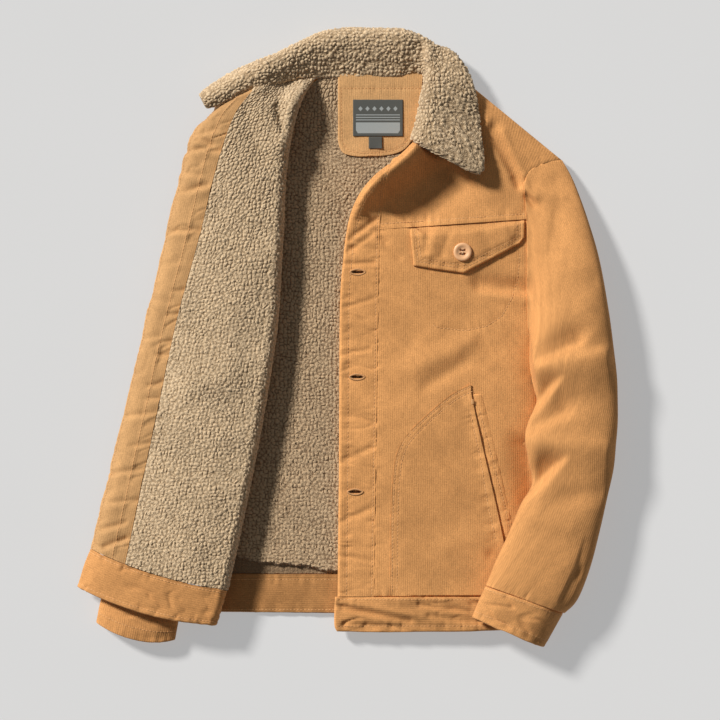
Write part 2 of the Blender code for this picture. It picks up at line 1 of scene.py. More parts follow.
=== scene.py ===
# %% [markdown]
# # A winter jacket of corduroy and sherpa fleece, laid open
# The jacket lies on its back on a plain floor. Its left front lies closed, its right front is folded
# back so that the fleece shows, and the right sleeve lies under it. Left and right are the wearer's.
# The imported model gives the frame: +X to the wearer's left, +Y towards the collar, +Z up. Sizes here
# are in millimetres until a mesh is made. The solids are simple walls, so every piece of cloth is made
# again below, on the same tables, with a finer grid, rolled edges, puckers and a pile.

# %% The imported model
from collections import namedtuple
from math import pi, radians

import bpy
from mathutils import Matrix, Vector
import numpy as np


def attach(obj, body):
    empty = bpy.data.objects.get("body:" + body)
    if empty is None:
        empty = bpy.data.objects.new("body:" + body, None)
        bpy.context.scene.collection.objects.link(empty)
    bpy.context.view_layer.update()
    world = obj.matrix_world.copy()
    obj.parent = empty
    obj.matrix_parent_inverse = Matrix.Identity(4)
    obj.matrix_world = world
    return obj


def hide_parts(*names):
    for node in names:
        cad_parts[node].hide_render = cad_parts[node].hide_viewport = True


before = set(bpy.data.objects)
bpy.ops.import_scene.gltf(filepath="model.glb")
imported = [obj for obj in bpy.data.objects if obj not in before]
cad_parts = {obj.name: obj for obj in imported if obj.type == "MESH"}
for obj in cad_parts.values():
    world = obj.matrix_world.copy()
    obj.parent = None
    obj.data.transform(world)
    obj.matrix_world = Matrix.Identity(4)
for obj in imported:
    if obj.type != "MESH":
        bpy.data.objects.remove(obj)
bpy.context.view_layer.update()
MM = 0.001
SCENE = bpy.context.scene
print("solids to dress:", len(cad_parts))

# %% [markdown]
# ## Camera, light and floor
# The photograph looks straight down, so a long lens high above the jacket gives nearly parallel lines.
# One pixel of the frame is 1.2 mm of cloth. The light comes from the upper left and fairly low, which
# throws the shadow of the fold on the back lining and shows every curl of the pile. A weak even sky
# fills the shadows.

# %% Camera, light and floor
PIXEL = 1.2
FRAME_PIXELS = 720
VIEW_CENTRE = (14.4, -27.0)
CLOTH_LEVEL = 20.0  # the height at which the frame has its exact scale
LENS = 200.0
SENSOR = 36.0
LIGHT_WAY = (0.67, -0.54, -0.53)  # the way the light travels
LIGHT_SPREAD = 9.0  # degrees, soft edges on the shadows
LIGHT_STRENGTH = 4.7
SKY_STRENGTH = 0.16
FLOOR_HALF = 3.0  # metres
FLOOR_LEVEL = -0.0005  # metres, a hair under the cloth
SUN_COLOUR = (1.0, 0.98, 0.95)
SKY_COLOUR = (0.97, 0.98, 1.0, 1)


def add(name, data):
    """Puts new data into the scene as an object at the origin."""
    made = bpy.data.objects.new(name, data)
    SCENE.collection.objects.link(made)
    return made


camera = add("camera", bpy.data.cameras.new("camera"))
camera.data.lens = LENS
camera.data.sensor_width = SENSOR
height = FRAME_PIXELS * PIXEL * LENS / SENSOR + CLOTH_LEVEL
camera.location = (VIEW_CENTRE[0] * MM, VIEW_CENTRE[1] * MM, height * MM)
SCENE.camera = camera

sun = add("key_light", bpy.data.lights.new("key_light", "SUN"))
sun.data.energy = LIGHT_STRENGTH
sun.data.angle = radians(LIGHT_SPREAD)
sun.data.color = SUN_COLOUR
sun.rotation_euler = Vector(LIGHT_WAY).to_track_quat("-Z", "Y").to_euler()

sky = bpy.data.worlds.new("sky")
sky.use_nodes = True
backdrop = sky.node_tree.nodes["Background"]
backdrop.inputs["Color"].default_value = SKY_COLOUR
backdrop.inputs["Strength"].default_value = SKY_STRENGTH
SCENE.world = sky
SCENE.view_settings.view_transform = "Standard"

floor_mesh = bpy.data.meshes.new("floor")
corners = [(x * FLOOR_HALF, y * FLOOR_HALF, FLOOR_LEVEL) for x, y in ((-1, -1), (1, -1), (1, 1), (-1, 1))]
floor_mesh.from_pydata(corners, [], [(0, 1, 2, 3)])
floor = add("floor", floor_mesh)
print("camera height in metres:", round(height * MM, 3))

# %% [markdown]
# ## Shader tools
# Cloth gets its look from shader nodes. They could be wired by hand in the node editor, but a script
# can be read and repeated. A small helper adds a node, sets it and feeds its sockets. The others use
# it for sums, for noise that runs between two values and for an empty node group.

# %% Shader tools
SOCKETS = {"Colour": "NodeSocketColor", "Root and Shade": "NodeSocketColor"}


def put(tree, kind, feeds=None, **settings):
    """Adds a node, sets its properties, and feeds each named socket with a value or another output."""
    node = tree.nodes.new(kind)
    for key, value in settings.items():
        setattr(node, key, value)
    for key, value in (feeds or {}).items():
        if isinstance(value, bpy.types.NodeSocket):
            tree.links.new(value, node.inputs[key])
        else:
            node.inputs[key].default_value = value
    return node


def sums(tree, operation, *values):
    """One math node; returns its output."""
    return put(tree, "ShaderNodeMath", dict(enumerate(values)), operation=operation).outputs[0]


def times(tree, first, *others):
    """The product of several values."""
    for value in others:
        first = sums(tree, "MULTIPLY", first, value)
    return first


def scaled(tree, colour, factor):
    """A colour multiplied by a factor that varies over the surface."""
    node = put(tree, "ShaderNodeVectorMath", {0: colour, 1: factor}, operation="MULTIPLY")
    return node.outputs[0]


def cloth_map(tree):
    """The piece's own UV map, in metres along the cloth."""
    return put(tree, "ShaderNodeUVMap", uv_map="cloth").outputs[0]


def speckle(tree, place, scale, detail, low, high):
    """Noise stretched to run from low to high."""
    grain = put(tree, "ShaderNodeTexNoise", {"Vector": place, "Scale": scale, "Detail": detail})
    feeds = {"Value": grain.outputs["Factor" if "Factor" in grain.outputs else "Fac"]}
    feeds.update({"From Min": 0.3, "From Max": 0.7, "To Min": low, "To Max": high})
    return put(tree, "ShaderNodeMapRange", feeds).outputs["Result"]


def group(name, inputs, outputs):
    """An empty shader group with named sockets; returns the tree, its input node and its output node."""
    tree = bpy.data.node_groups.new(name, "ShaderNodeTree")
    for key in inputs:
        tree.interface.new_socket(key, in_out="INPUT", socket_type=SOCKETS.get(key, "NodeSocketFloat"))
    for key in outputs:
        tree.interface.new_socket(key, in_out="OUTPUT", socket_type=SOCKETS.get(key, "NodeSocketFloat"))
    return tree, tree.nodes.new("NodeGroupInput"), tree.nodes.new("NodeGroupOutput")


print("sockets that carry a colour:", ", ".join(SOCKETS))

# %% [markdown]
# ## Wales and pile
# Corduroy has wales, which are rounded ribs of cut pile, and sherpa has curls that are dark at their
# roots, partly their own colour and partly painted shade in the gaps. The grooves between the ribs are
# darkened too, as painted shade. An image could show both, but nodes stay sharp at any distance. Two
# node groups are shared by several materials. One draws ribs across the cloth's own UV map, with a nap
# in soft patches, and the other draws curls with fine fibres. Both put out a colour and a height, which
# the material turns into a bump.

# %% Wales and pile
def wales_group():
    """Ribs: the sine of the distance across, in pitches, wavering a little, times a blotchy nap."""
    tree, given, result = group("wales", ("Colour", "Pitch", "Groove"), ("Colour", "Height"))
    uv = cloth_map(tree)
    parts = put(tree, "ShaderNodeSeparateXYZ", {0: uv})
    waver = speckle(tree, uv, 28.0, 2.0, -0.16, 0.16)
    turns = sums(tree, "ADD", sums(tree, "DIVIDE", parts.outputs["X"], given.outputs["Pitch"]), waver)
    wave = sums(tree, "SINE", times(tree, turns, 2 * pi))
    rib = sums(tree, "POWER", sums(tree, "MULTIPLY_ADD", wave, 0.5, 0.5), 0.7)
    along = {"X": sums(tree, "FLOOR", turns), "Y": times(tree, parts.outputs["Y"], 90.0)}
    along = put(tree, "ShaderNodeCombineXYZ", along).outputs[0]
    single = speckle(tree, along, 1.0, 1.0, 0.93, 1.07)
    faint = speckle(tree, uv, 120.0, 2.0, 0.3, 1.0)
    fibre = speckle(tree, uv, 620.0, 3.0, 0.82, 1.18)
    patches = speckle(tree, uv, 34.0, 4.0, 0.90, 1.09)
    broad = speckle(tree, uv, 8.0, 2.0, 0.93, 1.06)
    # The mark lightens rubbed edges and shifts the tone of whole pieces. Where it is set below zero on the
    # back's hem band and along the edges under the sleeve, it is painted shade.
    wear_tone_and_shade = put(tree, "ShaderNodeAttribute", attribute_name="wear_tone_and_shade").outputs["Fac"]
    # The grooves between the ribs are darkened: painted shade.
    depth = times(tree, given.outputs["Groove"], faint, -1.0)
    groove = sums(tree, "MULTIPLY_ADD", sums(tree, "SUBTRACT", 1.0, rib), depth, 1.0)
    lighter = sums(tree, "MULTIPLY_ADD", wear_tone_and_shade, 0.16, 1.0)
    tone = times(tree, groove, patches, broad, single, fibre, lighter)
    tree.links.new(scaled(tree, given.outputs["Colour"], tone), result.inputs["Colour"])
    height = sums(tree, "MULTIPLY_ADD", fibre, 0.25, times(tree, rib, faint))
    tree.links.new(height, result.inputs["Height"])
    return tree


def pile_group():
    """Curls: the colour runs from root to tip with the height of the curl, broken by fine fibres. The dark
    root colour is partly the pile's own and partly painted shade in the gaps between curls.
    """
    tree, given, result = group("curled pile", ("Colour", "Root and Shade"), ("Colour", "Height"))
    uv = cloth_map(tree)
    curl = put(tree, "ShaderNodeAttribute", attribute_name="curl").outputs["Fac"]
    fibre = speckle(tree, uv, 640.0, 3.0, -0.28, 0.28)
    tip = sums(tree, "ADD", curl, fibre)
    steps = {"Value": tip, "From Min": 0.05, "From Max": 0.75}
    share = put(tree, "ShaderNodeMapRange", steps, interpolation_type="SMOOTHSTEP").outputs["Result"]
    mixed = put(tree, "ShaderNodeMix", {"Factor": share}, data_type="RGBA")
    tree.links.new(given.outputs["Root and Shade"], mixed.inputs[6])
    tree.links.new(given.outputs["Colour"], mixed.inputs[7])
    patch = speckle(tree, uv, 20.0, 2.0, 0.93, 1.06)
    tree.links.new(scaled(tree, mixed.outputs[2], patch), result.inputs["Colour"])
    tree.links.new(fibre, result.inputs["Height"])
    return tree


WALES = wales_group()
PILE = pile_group()
print("shared finishes:", WALES.name, "and", PILE.name)

# %% [markdown]
# ## Materials
# The corduroy is camel brown with a soft sheen, the fleece beige with darker roots, which also paint the
# shade between its curls. A darker copy of the fleece on the back's lining is painted shade, as it lies
# deep between the fronts. Thread is a little lighter than the cloth, but the button's shank thread is
# dark, painted shade of its holes. The buttons are a smooth tan resin, and the label a dark woven cloth.

# %% Materials
CAMEL = (0.670, 0.320, 0.112, 1)
FADED = (0.622, 0.350, 0.148, 1)
FLEECE_TIP = (0.690, 0.512, 0.318, 1)
# Roots darker than tips: partly the pile's own colour, partly painted shade in the gaps between curls.
FLEECE_ROOT_AND_SHADE = (0.360, 0.245, 0.135, 1)
# A darker copy of the fleece for the back's lining: painted shade, as it lies deep between the fronts.
SHADED_BACK_TIP = (0.530, 0.375, 0.222, 1)
SHADED_BACK_ROOT = (0.235, 0.145, 0.076, 1)
THREAD = (0.700, 0.365, 0.140, 1)
RIM_THREAD = (0.630, 0.335, 0.135, 1)
# The shank thread is as dark as the shade in the button's holes: painted shade.
HOLE_SHADE_THREAD = (0.140, 0.062, 0.026, 1)
RESIN = (0.780, 0.430, 0.215, 1)
SLATE = (0.085, 0.088, 0.080, 1)
PALE_WEAVE = (0.330, 0.355, 0.350, 1)
FLOOR_GREY = (0.34, 0.34, 0.34, 1)
FLOOR_GLOW = 0.365
WALE_PITCH = 0.0026  # metres, as the two below
WARP_PITCH = 0.0009
WEFT_PITCH = 0.0007


def blank(name, roughness, **constants):
    """A new material; its constants go on the Principled node's own sockets."""
    made = bpy.data.materials.new(name)
    made.use_nodes = True
    shader = made.node_tree.nodes["Principled BSDF"]
    shader.inputs["Roughness"].default_value = roughness
    for key, value in constants.items():
        shader.inputs[key.replace("_", " ")].default_value = value
    return made, made.node_tree, shader


def bumped(tree, shader, height, distance, strength=1.0):
    """Feeds a height to a shader as a bump."""
    bump = put(tree, "ShaderNodeBump", {"Height": height, "Distance": distance, "Strength": strength})
    tree.links.new(bump.outputs["Normal"], shader.inputs["Normal"])


def corduroy_material(name, colour, groove):
    """Ribbed cloth with a warm sheen; groove is how dark its grooves are, painted shade in them."""
    sheen = {"Sheen_Weight": 0.18, "Sheen_Roughness": 0.45, "Sheen_Tint": (1.0, 0.72, 0.46, 1)}
    made, tree, shader = blank(name, 0.92, Specular_IOR_Level=0.15, **sheen)
    feeds = {"Colour": colour, "Pitch": WALE_PITCH, "Groove": groove}
    ribs = put(tree, "ShaderNodeGroup", feeds, node_tree=WALES)
    tree.links.new(ribs.outputs["Colour"], shader.inputs["Base Color"])
    bumped(tree, shader, ribs.outputs["Height"], 0.0005, 0.32)
    return made


def fleece_material(name, tip, root):
    """Curled pile, from the colour of its roots to that of its tips; the darker roots also paint the shade
    between curls.
    """
    made, tree, shader = blank(name, 0.97, Sheen_Weight=0.2, Sheen_Roughness=0.6, Specular_IOR_Level=0.1)
    pile = put(tree, "ShaderNodeGroup", {"Colour": tip, "Root and Shade": root}, node_tree=PILE)
    tree.links.new(pile.outputs["Colour"], shader.inputs["Base Color"])
    bumped(tree, shader, pile.outputs["Height"], 0.0011, 0.9)
    return made


def grained_material(name, colour, scale, low, high, depth, roughness, **constants):
    """A colour broken by noise on Object coordinates, which is also the bump."""
    made, tree, shader = blank(name, roughness, **constants)
    place = put(tree, "ShaderNodeTexCoord").outputs["Object"]
    grain = speckle(tree, place, scale, 3.0, low, high)
    tree.links.new(scaled(tree, colour[:3], grain), shader.inputs["Base Color"])
    bumped(tree, shader, grain, depth, 0.6)
    return made


def woven_material(name, colour):
    """A tight plain weave: two fine sine waves across each other on the piece's UV map."""
    made, tree, shader = blank(name, 0.75, Specular_IOR_Level=0.3)
    uv = put(tree, "ShaderNodeSeparateXYZ", {0: cloth_map(tree)})
    warp = sums(tree, "SINE", times(tree, uv.outputs["X"], 2 * pi / WARP_PITCH))
    weft = sums(tree, "SINE", times(tree, uv.outputs["Y"], 2 * pi / WEFT_PITCH))
    weave = sums(tree, "MULTIPLY_ADD", times(tree, warp, weft), 0.18, 1.0)
    tree.links.new(scaled(tree, colour[:3], weave), shader.inputs["Base Color"])
    bumped(tree, shader, weave, 0.0002, 0.6)
    return made


CORDUROY = corduroy_material("corduroy", CAMEL, 0.17)
FACINGS = corduroy_material("corduroy_of_facings", FADED, 0.08)
FLEECE = fleece_material("fleece", FLEECE_TIP, FLEECE_ROOT_AND_SHADE)
SHADED_BACK_FLEECE = fleece_material("fleece_of_back_painted_shade", SHADED_BACK_TIP, SHADED_BACK_ROOT)
STITCH = grained_material("thread", THREAD, 1800.0, 0.85, 1.1, 0.0001, 0.7)
HOLE_THREAD = grained_material("buttonhole_thread", RIM_THREAD, 1500.0, 0.75, 1.1, 0.0002, 0.7)
SHANK_THREAD_AS_HOLE_SHADE = grained_material("button_thread", HOLE_SHADE_THREAD, 1500.0, 0.8, 1.1, 0.0001, 0.8)
BUTTON = grained_material("button_resin", RESIN, 160.0, 0.92, 1.06, 0.00003, 0.46, Coat_Weight=0.08)
LABEL_DARK = woven_material("label_dark", SLATE)
LABEL_PALE = woven_material("label_pale", PALE_WEAVE)
GLOW = {"Emission_Color": (1, 1, 1, 1), "Emission_Strength": FLOOR_GLOW}
GROUND = grained_material("floor_grey", FLOOR_GREY, 3.0, 0.985, 1.01, 0.00001, 0.95, **GLOW)
floor_mesh.materials.append(GROUND)
print("materials:", len(bpy.data.materials))

# %% [markdown]
# ## Curves and grids
# A maker cuts each piece along a drawn outline. Here a table of measured places becomes a smooth
# curve, and two curves become a grid of points between them. Blender's own curves could do that too,
# but plain arrays are easy to bend later. Cloth needs finer lines near its edges, where it rolls
# over, so the spacing is closer there.

# %% Curves and grids
STEP = 4  # the hidden side of a piece has one line for each four of its outer side
RIM = np.array([0.0, 0.3, 0.8, 1.6])  # distances of the close lines from an edge


def through(rows, count):
    """A smooth curve (Catmull-Rom) through the rows of a table, at even steps from first to last."""
    table = np.array(rows, float)
    place = np.linspace(0, len(table) - 1, count)
    first = np.minimum(place.astype(int), len(table) - 2)
    t = (place - first)[:, None]
    ends = np.vstack([2 * table[0] - table[1], table, 2 * table[-1] - table[-2]])
    a, b, c, d = (ends[first + k] for k in range(4))
    bend = (2 * a - 5 * b + 4 * c - d) * t**2 + (3 * b - a - 3 * c + d) * t**3
    return 0.5 * (2 * b + (c - a) * t + bend)


def run_length(points):
    """Distance along a line of points, from 0 at the first."""
    return np.concatenate([[0.0], np.cumsum(np.linalg.norm(np.diff(points, axis=0), axis=1))])


def sample(want, run, rows):
    """The rows of a table read at the wanted places, on straight lines between its own places."""
    return np.stack([np.interp(want, run, column) for column in np.transpose(rows)], axis=1)


def named(kind, table):
    """The columns of a table under their names, each upright, so that it spreads over a grid."""
    return kind(*table.T[:, :, None])


def shares(length, cell):
    """Shares from 0 to 1 about one cell apart, with closer lines along both edges."""
    count = max(2, int((length - 2 * RIM[-1]) / cell))
    count += -(count + 6) % STEP
    middle = np.linspace(RIM[-1], length - RIM[-1], count + 1)
    return np.concatenate([RIM[:-1], middle, length - RIM[-2::-1]]) / length


def read(rows, cell):
    """A table read down its middle line, one cell apart and closer at both ends."""
    dense = through(rows, 900)
    run = run_length((dense[:, 0:2] + dense[:, 2:4]) / 2)
    want = shares(run[-1], cell) * run[-1]
    return sample(want, run, dense)


def between(left, right, share):
    """A grid of points on straight lines from the left edge to the right edge."""
    share = np.asarray(share)[None, :, None]
    return left[:, None] * (1 - share) + right[:, None] * share


def spaced(count):
    """Shares from 0 to 1 that lie closer together at both ends: half a cosine wave."""
    return (1 - np.cos(np.linspace(0, pi, count))) / 2


print("a cell of 2 mm on 100 mm gives", len(shares(100.0, 2.0)), "lines")

# %% [markdown]
# ## Noise and folds
# Laid cloth is never quite even, and it creases where a seam draws it in. A cloth simulation could
# make folds, but not the ones in the photo. So folds and troughs are bells across lines that are
# listed one by one, and noise gives the slight unevenness and the narrow creases along seams.

# %% Noise and folds
SEAM_GROOVE = 1.5  # half the width of the groove along a seam
# A fold runs from x0, y0 to x1, y1. Looking along it, its slopes reach out so far to left and right.
# It grows in from its start over a share of its length, its fade.
Fold = namedtuple("Fold", "x0 y0 x1 y1 left right height fade", defaults=(0.0,))


def noise(u, v, size, seed):
    """Smooth noise from -1 to 1: random values at the corners of squares, eased from one to the next."""
    values = np.random.default_rng(seed).uniform(-1, 1, (128, 128))
    x, y = u / size, v / size
    i, j = np.floor(x).astype(int), np.floor(y).astype(int)
    s, t = x - i, y - j
    s, t = s * s * (3 - 2 * s), t * t * (3 - 2 * t)
    near = values[i % 128, j % 128] * (1 - s) + values[(i + 1) % 128, j % 128] * s
    far = values[i % 128, (j + 1) % 128] * (1 - s) + values[(i + 1) % 128, (j + 1) % 128] * s
    return near * (1 - t) + far * t


def quarter(t):
    """How far a quarter circle has come down after the share t of its width."""
    return 1 - np.sqrt(1 - np.clip(t, 0, 1) ** 2)


def ease(t):
    """A smooth step from 0 to 1."""
    t = np.clip(t, 0, 1)
    return t * t * (3 - 2 * t)


def arch(share, power):
    """A rounded arch: 0 at both ends and 1 in the middle, flatter with a higher power."""
    return (1 - np.abs(2 * share - 1) ** power) ** (1 / power)


def bell(off, reach):
    """A bell across a line: 1 on the line and about a third of that at its reach."""
    return np.exp(-((off / reach) ** 2))


def ridges(x, y, folds):
    """Height that folds add: a bell across each fold, with its own reach on either side of the line."""
    total = np.zeros_like(x)
    for f in folds:
        run = np.array([f.x1 - f.x0, f.y1 - f.y0])
        along = np.clip(((x - f.x0) * run[0] + (y - f.y0) * run[1]) / (run @ run), 0, 1)
        dx, dy = x - f.x0 - along * run[0], y - f.y0 - along * run[1]
        side = (run[0] * dy - run[1] * dx) / np.hypot(*run)
        reach = f.right + (f.left - f.right) * ease(side / (f.left + f.right) + 0.5)
        grown = ease(along / f.fade) if f.fade else 1.0
        total += f.height * grown * bell(np.hypot(dx, dy), reach)
    return total


def near_line(x, y, line):
    """Distance of each point from a line, and how far along the line its nearest place is."""
    best, along, start = np.full(x.shape, 1e9), np.zeros(x.shape), 0.0
    for (x0, y0), (x1, y1) in zip(line[:-1], line[1:]):
        way = np.hypot(x1 - x0, y1 - y0)
        t = np.clip(((x - x0) * (x1 - x0) + (y - y0) * (y1 - y0)) / way**2, 0, 1)
        off = np.hypot(x - x0 - t * (x1 - x0), y - y0 - t * (y1 - y0))
        along = np.where(off < best, start + t * way, along)
        best = np.minimum(best, off)
        start += way
    return best, along


def creased(u, v, size, seed):
    """Crease lines of chance: narrow valleys where a noise changes sign, soft swells between them."""
    a, b = 0.8 * u - 0.6 * v, 0.6 * u + 0.8 * v
    wander = noise(a, b, size, seed) + 0.45 * noise(b, -a, size * 0.45, seed + 3)
    valley = bell(wander, 0.17)
    return 0.6 * noise(b, -a, size * 0.8, seed + 5) - valley * ease(noise(a, b, size * 1.6, seed + 7) + 0.6)


def pucker(x, y, seam):
    """Cloth drawn in by a seam: crease lines across it that die away, and a groove along it."""
    off, along = near_line(x, y, seam.line)
    ripple = creased(along, off * 0.25, 13.0, seam.seed) + 0.5 * noise(along, off * 0.25, 5.0, seam.seed + 1)
    return seam.height * ripple * bell(off, seam.reach) - seam.groove * bell(off, SEAM_GROOVE)


def beside(line, off):
    """A line moved to its left by a distance, seen from above and looking along it."""
    line = np.asarray(line, float)
    way = np.gradient(line, axis=0)
    way = way / np.linalg.norm(way, axis=1, keepdims=True)
    return line + off * np.stack([-way[:, 1], way[:, 0]], axis=1)


print("at its reach a bell has fallen to", round(float(bell(1.0, 1.0)), 2))

# %% [markdown]
# ## Measures of a grid
# A cutter measures a piece along the cloth. So a grid of points gives its normals, the distances from
# its edges and the size of its cut. A turned edge of cloth is round and its nap rubs lighter. A bevel
# could round it, but a quarter circle on the grid's own lines also keeps the wear as a mark. The same
# mark later carries the tone of whole pieces and painted shade as well.

# %% Measures of a grid
UPRIGHT = np.array([0.0, 0.0, 1.0])
WORN_EDGE = 2.5  # how far the lighter wear of a rolled edge reaches


def normals(points, ring=False):
    """Unit normals of a grid whose rows run down and whose columns run from left to right."""
    along = np.gradient(points, axis=0)
    if ring:
        across = np.roll(points, -1, axis=1) - np.roll(points, 1, axis=1)
    else:
        across = np.gradient(points, axis=1)
    normal = np.cross(along, across)
    return normal / np.maximum(np.linalg.norm(normal, axis=2, keepdims=True), 1e-9)


def inward(points, distance, ring=False):
    """The grid moved in along its normals."""
    return points - distance * normals(points, ring)


def spans(points):
    """Distances along the cloth from the left edge and from the top edge of a grid."""
    across = np.linalg.norm(np.diff(points, axis=1), axis=2)
    down = np.linalg.norm(np.diff(points, axis=0), axis=2)
    rows, columns = points.shape[:2]
    left = np.hstack([np.zeros((rows, 1)), np.cumsum(across, axis=1)])
    top = np.vstack([np.zeros((1, columns)), np.cumsum(down, axis=0)])
    return left, top


def rolled(points, radius, sides, ring=False, way=None):
    """The chosen edges turned down in a quarter circle, against the normals or a given way; also gives
    the wear of each point, lighter near a rolled edge."""
    left, top = spans(points)
    away = {"l": left, "r": left[:, -1:] - left, "t": top, "b": top[-1:] - top}
    drop, wear_tone_and_shade = np.zeros(left.shape), np.zeros(left.shape)
    for side in sides:
        drop = np.maximum(drop, radius * quarter(1 - away[side] / radius))
        wear_tone_and_shade = np.maximum(wear_tone_and_shade, bell(away[side], WORN_EDGE))
    way = normals(points, ring) if way is None else way
    return points - drop[..., None] * way, wear_tone_and_shade


print("the wear of a rolled edge reaches", WORN_EDGE, "mm in")

# %% [markdown]
# ## Cloth as a mesh
# A piece of cloth has two sides and a rim. The Solidify modifier could give a sheet its wall, but it
# would make the hidden side as fine as the outer one. Here the outer side is a fine grid and the
# hidden side a coarser one on the same places, joined along the rim by faces that share the fine
# points. Each piece carries a UV map in metres, so that wales and weave have their real pitch, and
# marks that the finishes read.

# %% Cloth as a mesh
SHARP = 62.0  # degrees; edges that bend more are shaded sharp


def mesh_piece(name, points, faces, material, uv, marks):
    """Points in millimetres, faces, a UV map and marks made into a smooth mesh object."""
    mesh = bpy.data.meshes.new(name)
    mesh.from_pydata((points * MM).tolist(), [], faces)
    corner = np.empty(len(mesh.loops), np.int32)
    mesh.loops.foreach_get("vertex_index", corner)
    layer = mesh.uv_layers.new(name="cloth")
    layer.data.foreach_set("uv", (uv[corner] * MM).astype(np.float32).ravel())
    for key, values in marks.items():
        mark = mesh.attributes.new(key, "FLOAT", "POINT")
        mark.data.foreach_set("value", np.ascontiguousarray(values, np.float32))
    mesh.polygons.foreach_set("use_smooth", np.ones(len(mesh.polygons), bool))
    mesh.set_sharp_from_angle(angle=radians(SHARP))
    mesh.materials.append(material)
    return add(name, mesh)


def quads(grid):
    """The four corners of every cell of a grid of point numbers."""
    return np.stack([grid[:-1, :-1], grid[1:, :-1], grid[1:, 1:], grid[:-1, 1:]], axis=-1).reshape(-1, 4)


def shell(name, outer, inner, material, uv, marks, ring=False):
    """A closed wall: a fine outer grid, a coarse inner one, and rim faces that join the two."""
    rows, columns = outer.shape[:2]
    coarse = inner[::STEP, ::STEP]
    near = np.arange(rows * columns).reshape(rows, columns)
    far = rows * columns + np.arange(coarse.shape[0] * coarse.shape[1]).reshape(coarse.shape[:2])
    picked = near[::STEP, ::STEP].ravel()
    if ring:
        near, far = np.hstack([near, near[:, :1]]), np.hstack([far, far[:, :1]])
    faces = quads(near).tolist() + quads(far)[:, ::-1].tolist()
    edges = [(near[0], far[0]), (near[-1][::-1], far[-1][::-1])]
    if not ring:
        edges += [(near[::-1, 0], far[::-1, 0]), (near[:, -1], far[:, -1])]
    for fine, rough in edges:
        fine, rough = fine.tolist(), rough.tolist()
        for k in range(len(rough) - 1):
            faces.append(fine[k * STEP : k * STEP + STEP + 1] + [rough[k + 1], rough[k]])
    points = np.vstack([outer.reshape(-1, 3), coarse.reshape(-1, 3)])
    flat_uv = uv.reshape(-1, 2)
    marks = {key: np.concatenate([m.ravel(), m.ravel()[picked]]) for key, m in marks.items()}
    return mesh_piece(name, points, faces, material, np.vstack([flat_uv, flat_uv[picked]]), marks)


def whole_steps(grid):
    """The grid without the last columns that don't fill a step of the hidden side."""
    return grid[:, : (grid.shape[1] - 1) // STEP * STEP + 1]


def carried(part):
    """A piece rides with the one body."""
    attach(part, "root")


def declare(part, nodes):
    """A piece of cloth rides with the body and stands for its solid, which is hidden."""
    carried(part)
    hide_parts(*nodes)


def cloth(name, outer, inner, material, uv, marks, ring=False):
    """One finished piece of cloth, made as a wall and declared; its node has the name without _cloth."""
    part = shell(name, outer, inner, material, uv, marks, ring)
    declare(part, (name.replace("_cloth", ""),))
    return part


print("a rolled edge has", len(RIM), "close lines, and the hidden side one line for each", STEP)

# %% [markdown]
# ## Stitching
# Topstitching is a row of short thread lengths that dive into the cloth at both ends. Each one is a
# little spindle with four sides, and all rows of one panel are joined in a single mesh. The rows are
# collected while the panels are made.

# %% Stitching
STITCH_LONG = 3.7
STITCH_APART = 4.3
STITCH_WIDE = 0.7
THREAD_LIFT = 0.1  # a row lies this far above the points that it follows
THREADS = {}


def stitch_row(name, path, up):
    """Keeps a row of stitches for later: points along it and the cloth's normals there."""
    THREADS.setdefault(name, []).append((np.asarray(path, float), np.asarray(up, float)))


def sew_along(name, line, up):
    """A row of stitches that follows some points of a grid."""
    stitch_row(name, line + THREAD_LIFT * up, up)


def stitches(name, material):
    """All rows kept under one name: spindles placed at even steps along their paths."""
    spindle = np.array([(-0.5, -0.2), (-0.25, 0.25), (0.25, 0.25), (0.5, -0.2)])
    across = np.array([(1, 0.0), (0, 0.55), (-1, 0.0), (0, -0.6)])
    points, faces = [], []
    shape = np.arange(16).reshape(4, 4)
    shape = np.hstack([shape, shape[:, :1]])
    one = np.vstack([quads(shape), [(0, 1, 2, 3)], [(15, 14, 13, 12)]])
    for path, up in THREADS[name]:
        run = run_length(path)
        middle = np.arange(STITCH_APART / 2, run[-1] - 1, STITCH_APART)
        at, rise = sample(middle, run, path), sample(middle, run, up)
        ahead = sample(middle + 1, run, path) - at
        ahead /= np.linalg.norm(ahead, axis=1, keepdims=True) + 1e-9
        side = np.cross(rise, ahead)
        long = spindle[:, 0] * STITCH_LONG
        place = at[:, None, None] + ahead[:, None, None] * long[None, :, None, None]
        place = place + side[:, None, None] * (across[:, 0] * STITCH_WIDE / 2)[None, None, :, None]
        lift = spindle[:, 1][:, None] + across[None, :, 1] * STITCH_WIDE / 2
        place = place + rise[:, None, None] * lift[None, :, :, None]
        start = sum(len(p) for p in points)
        points.append(place.reshape(-1, 3))
        faces.append((one[None] + start + 16 * np.arange(len(middle))[:, None, None]).reshape(-1, 4))
    points = np.vstack(points)
    part = mesh_piece(name, points, np.vstack(faces).tolist(), material, points[:, :2], {})
    carried(part)
    print(f"{name}: {len(points) // 16} stitches")
    return part


print("stitches are", STITCH_LONG, "mm long and start every", STITCH_APART, "mm")

# %% [markdown]
# ## The left front's form
# The left front lies on the back as a low swell that rolls down to the side seam and the shoulder.
# One function gives its height at any place, with its folds, and every panel on it is laid by that
# function and lifted by what it lies on. So the panels follow each other with no gaps.

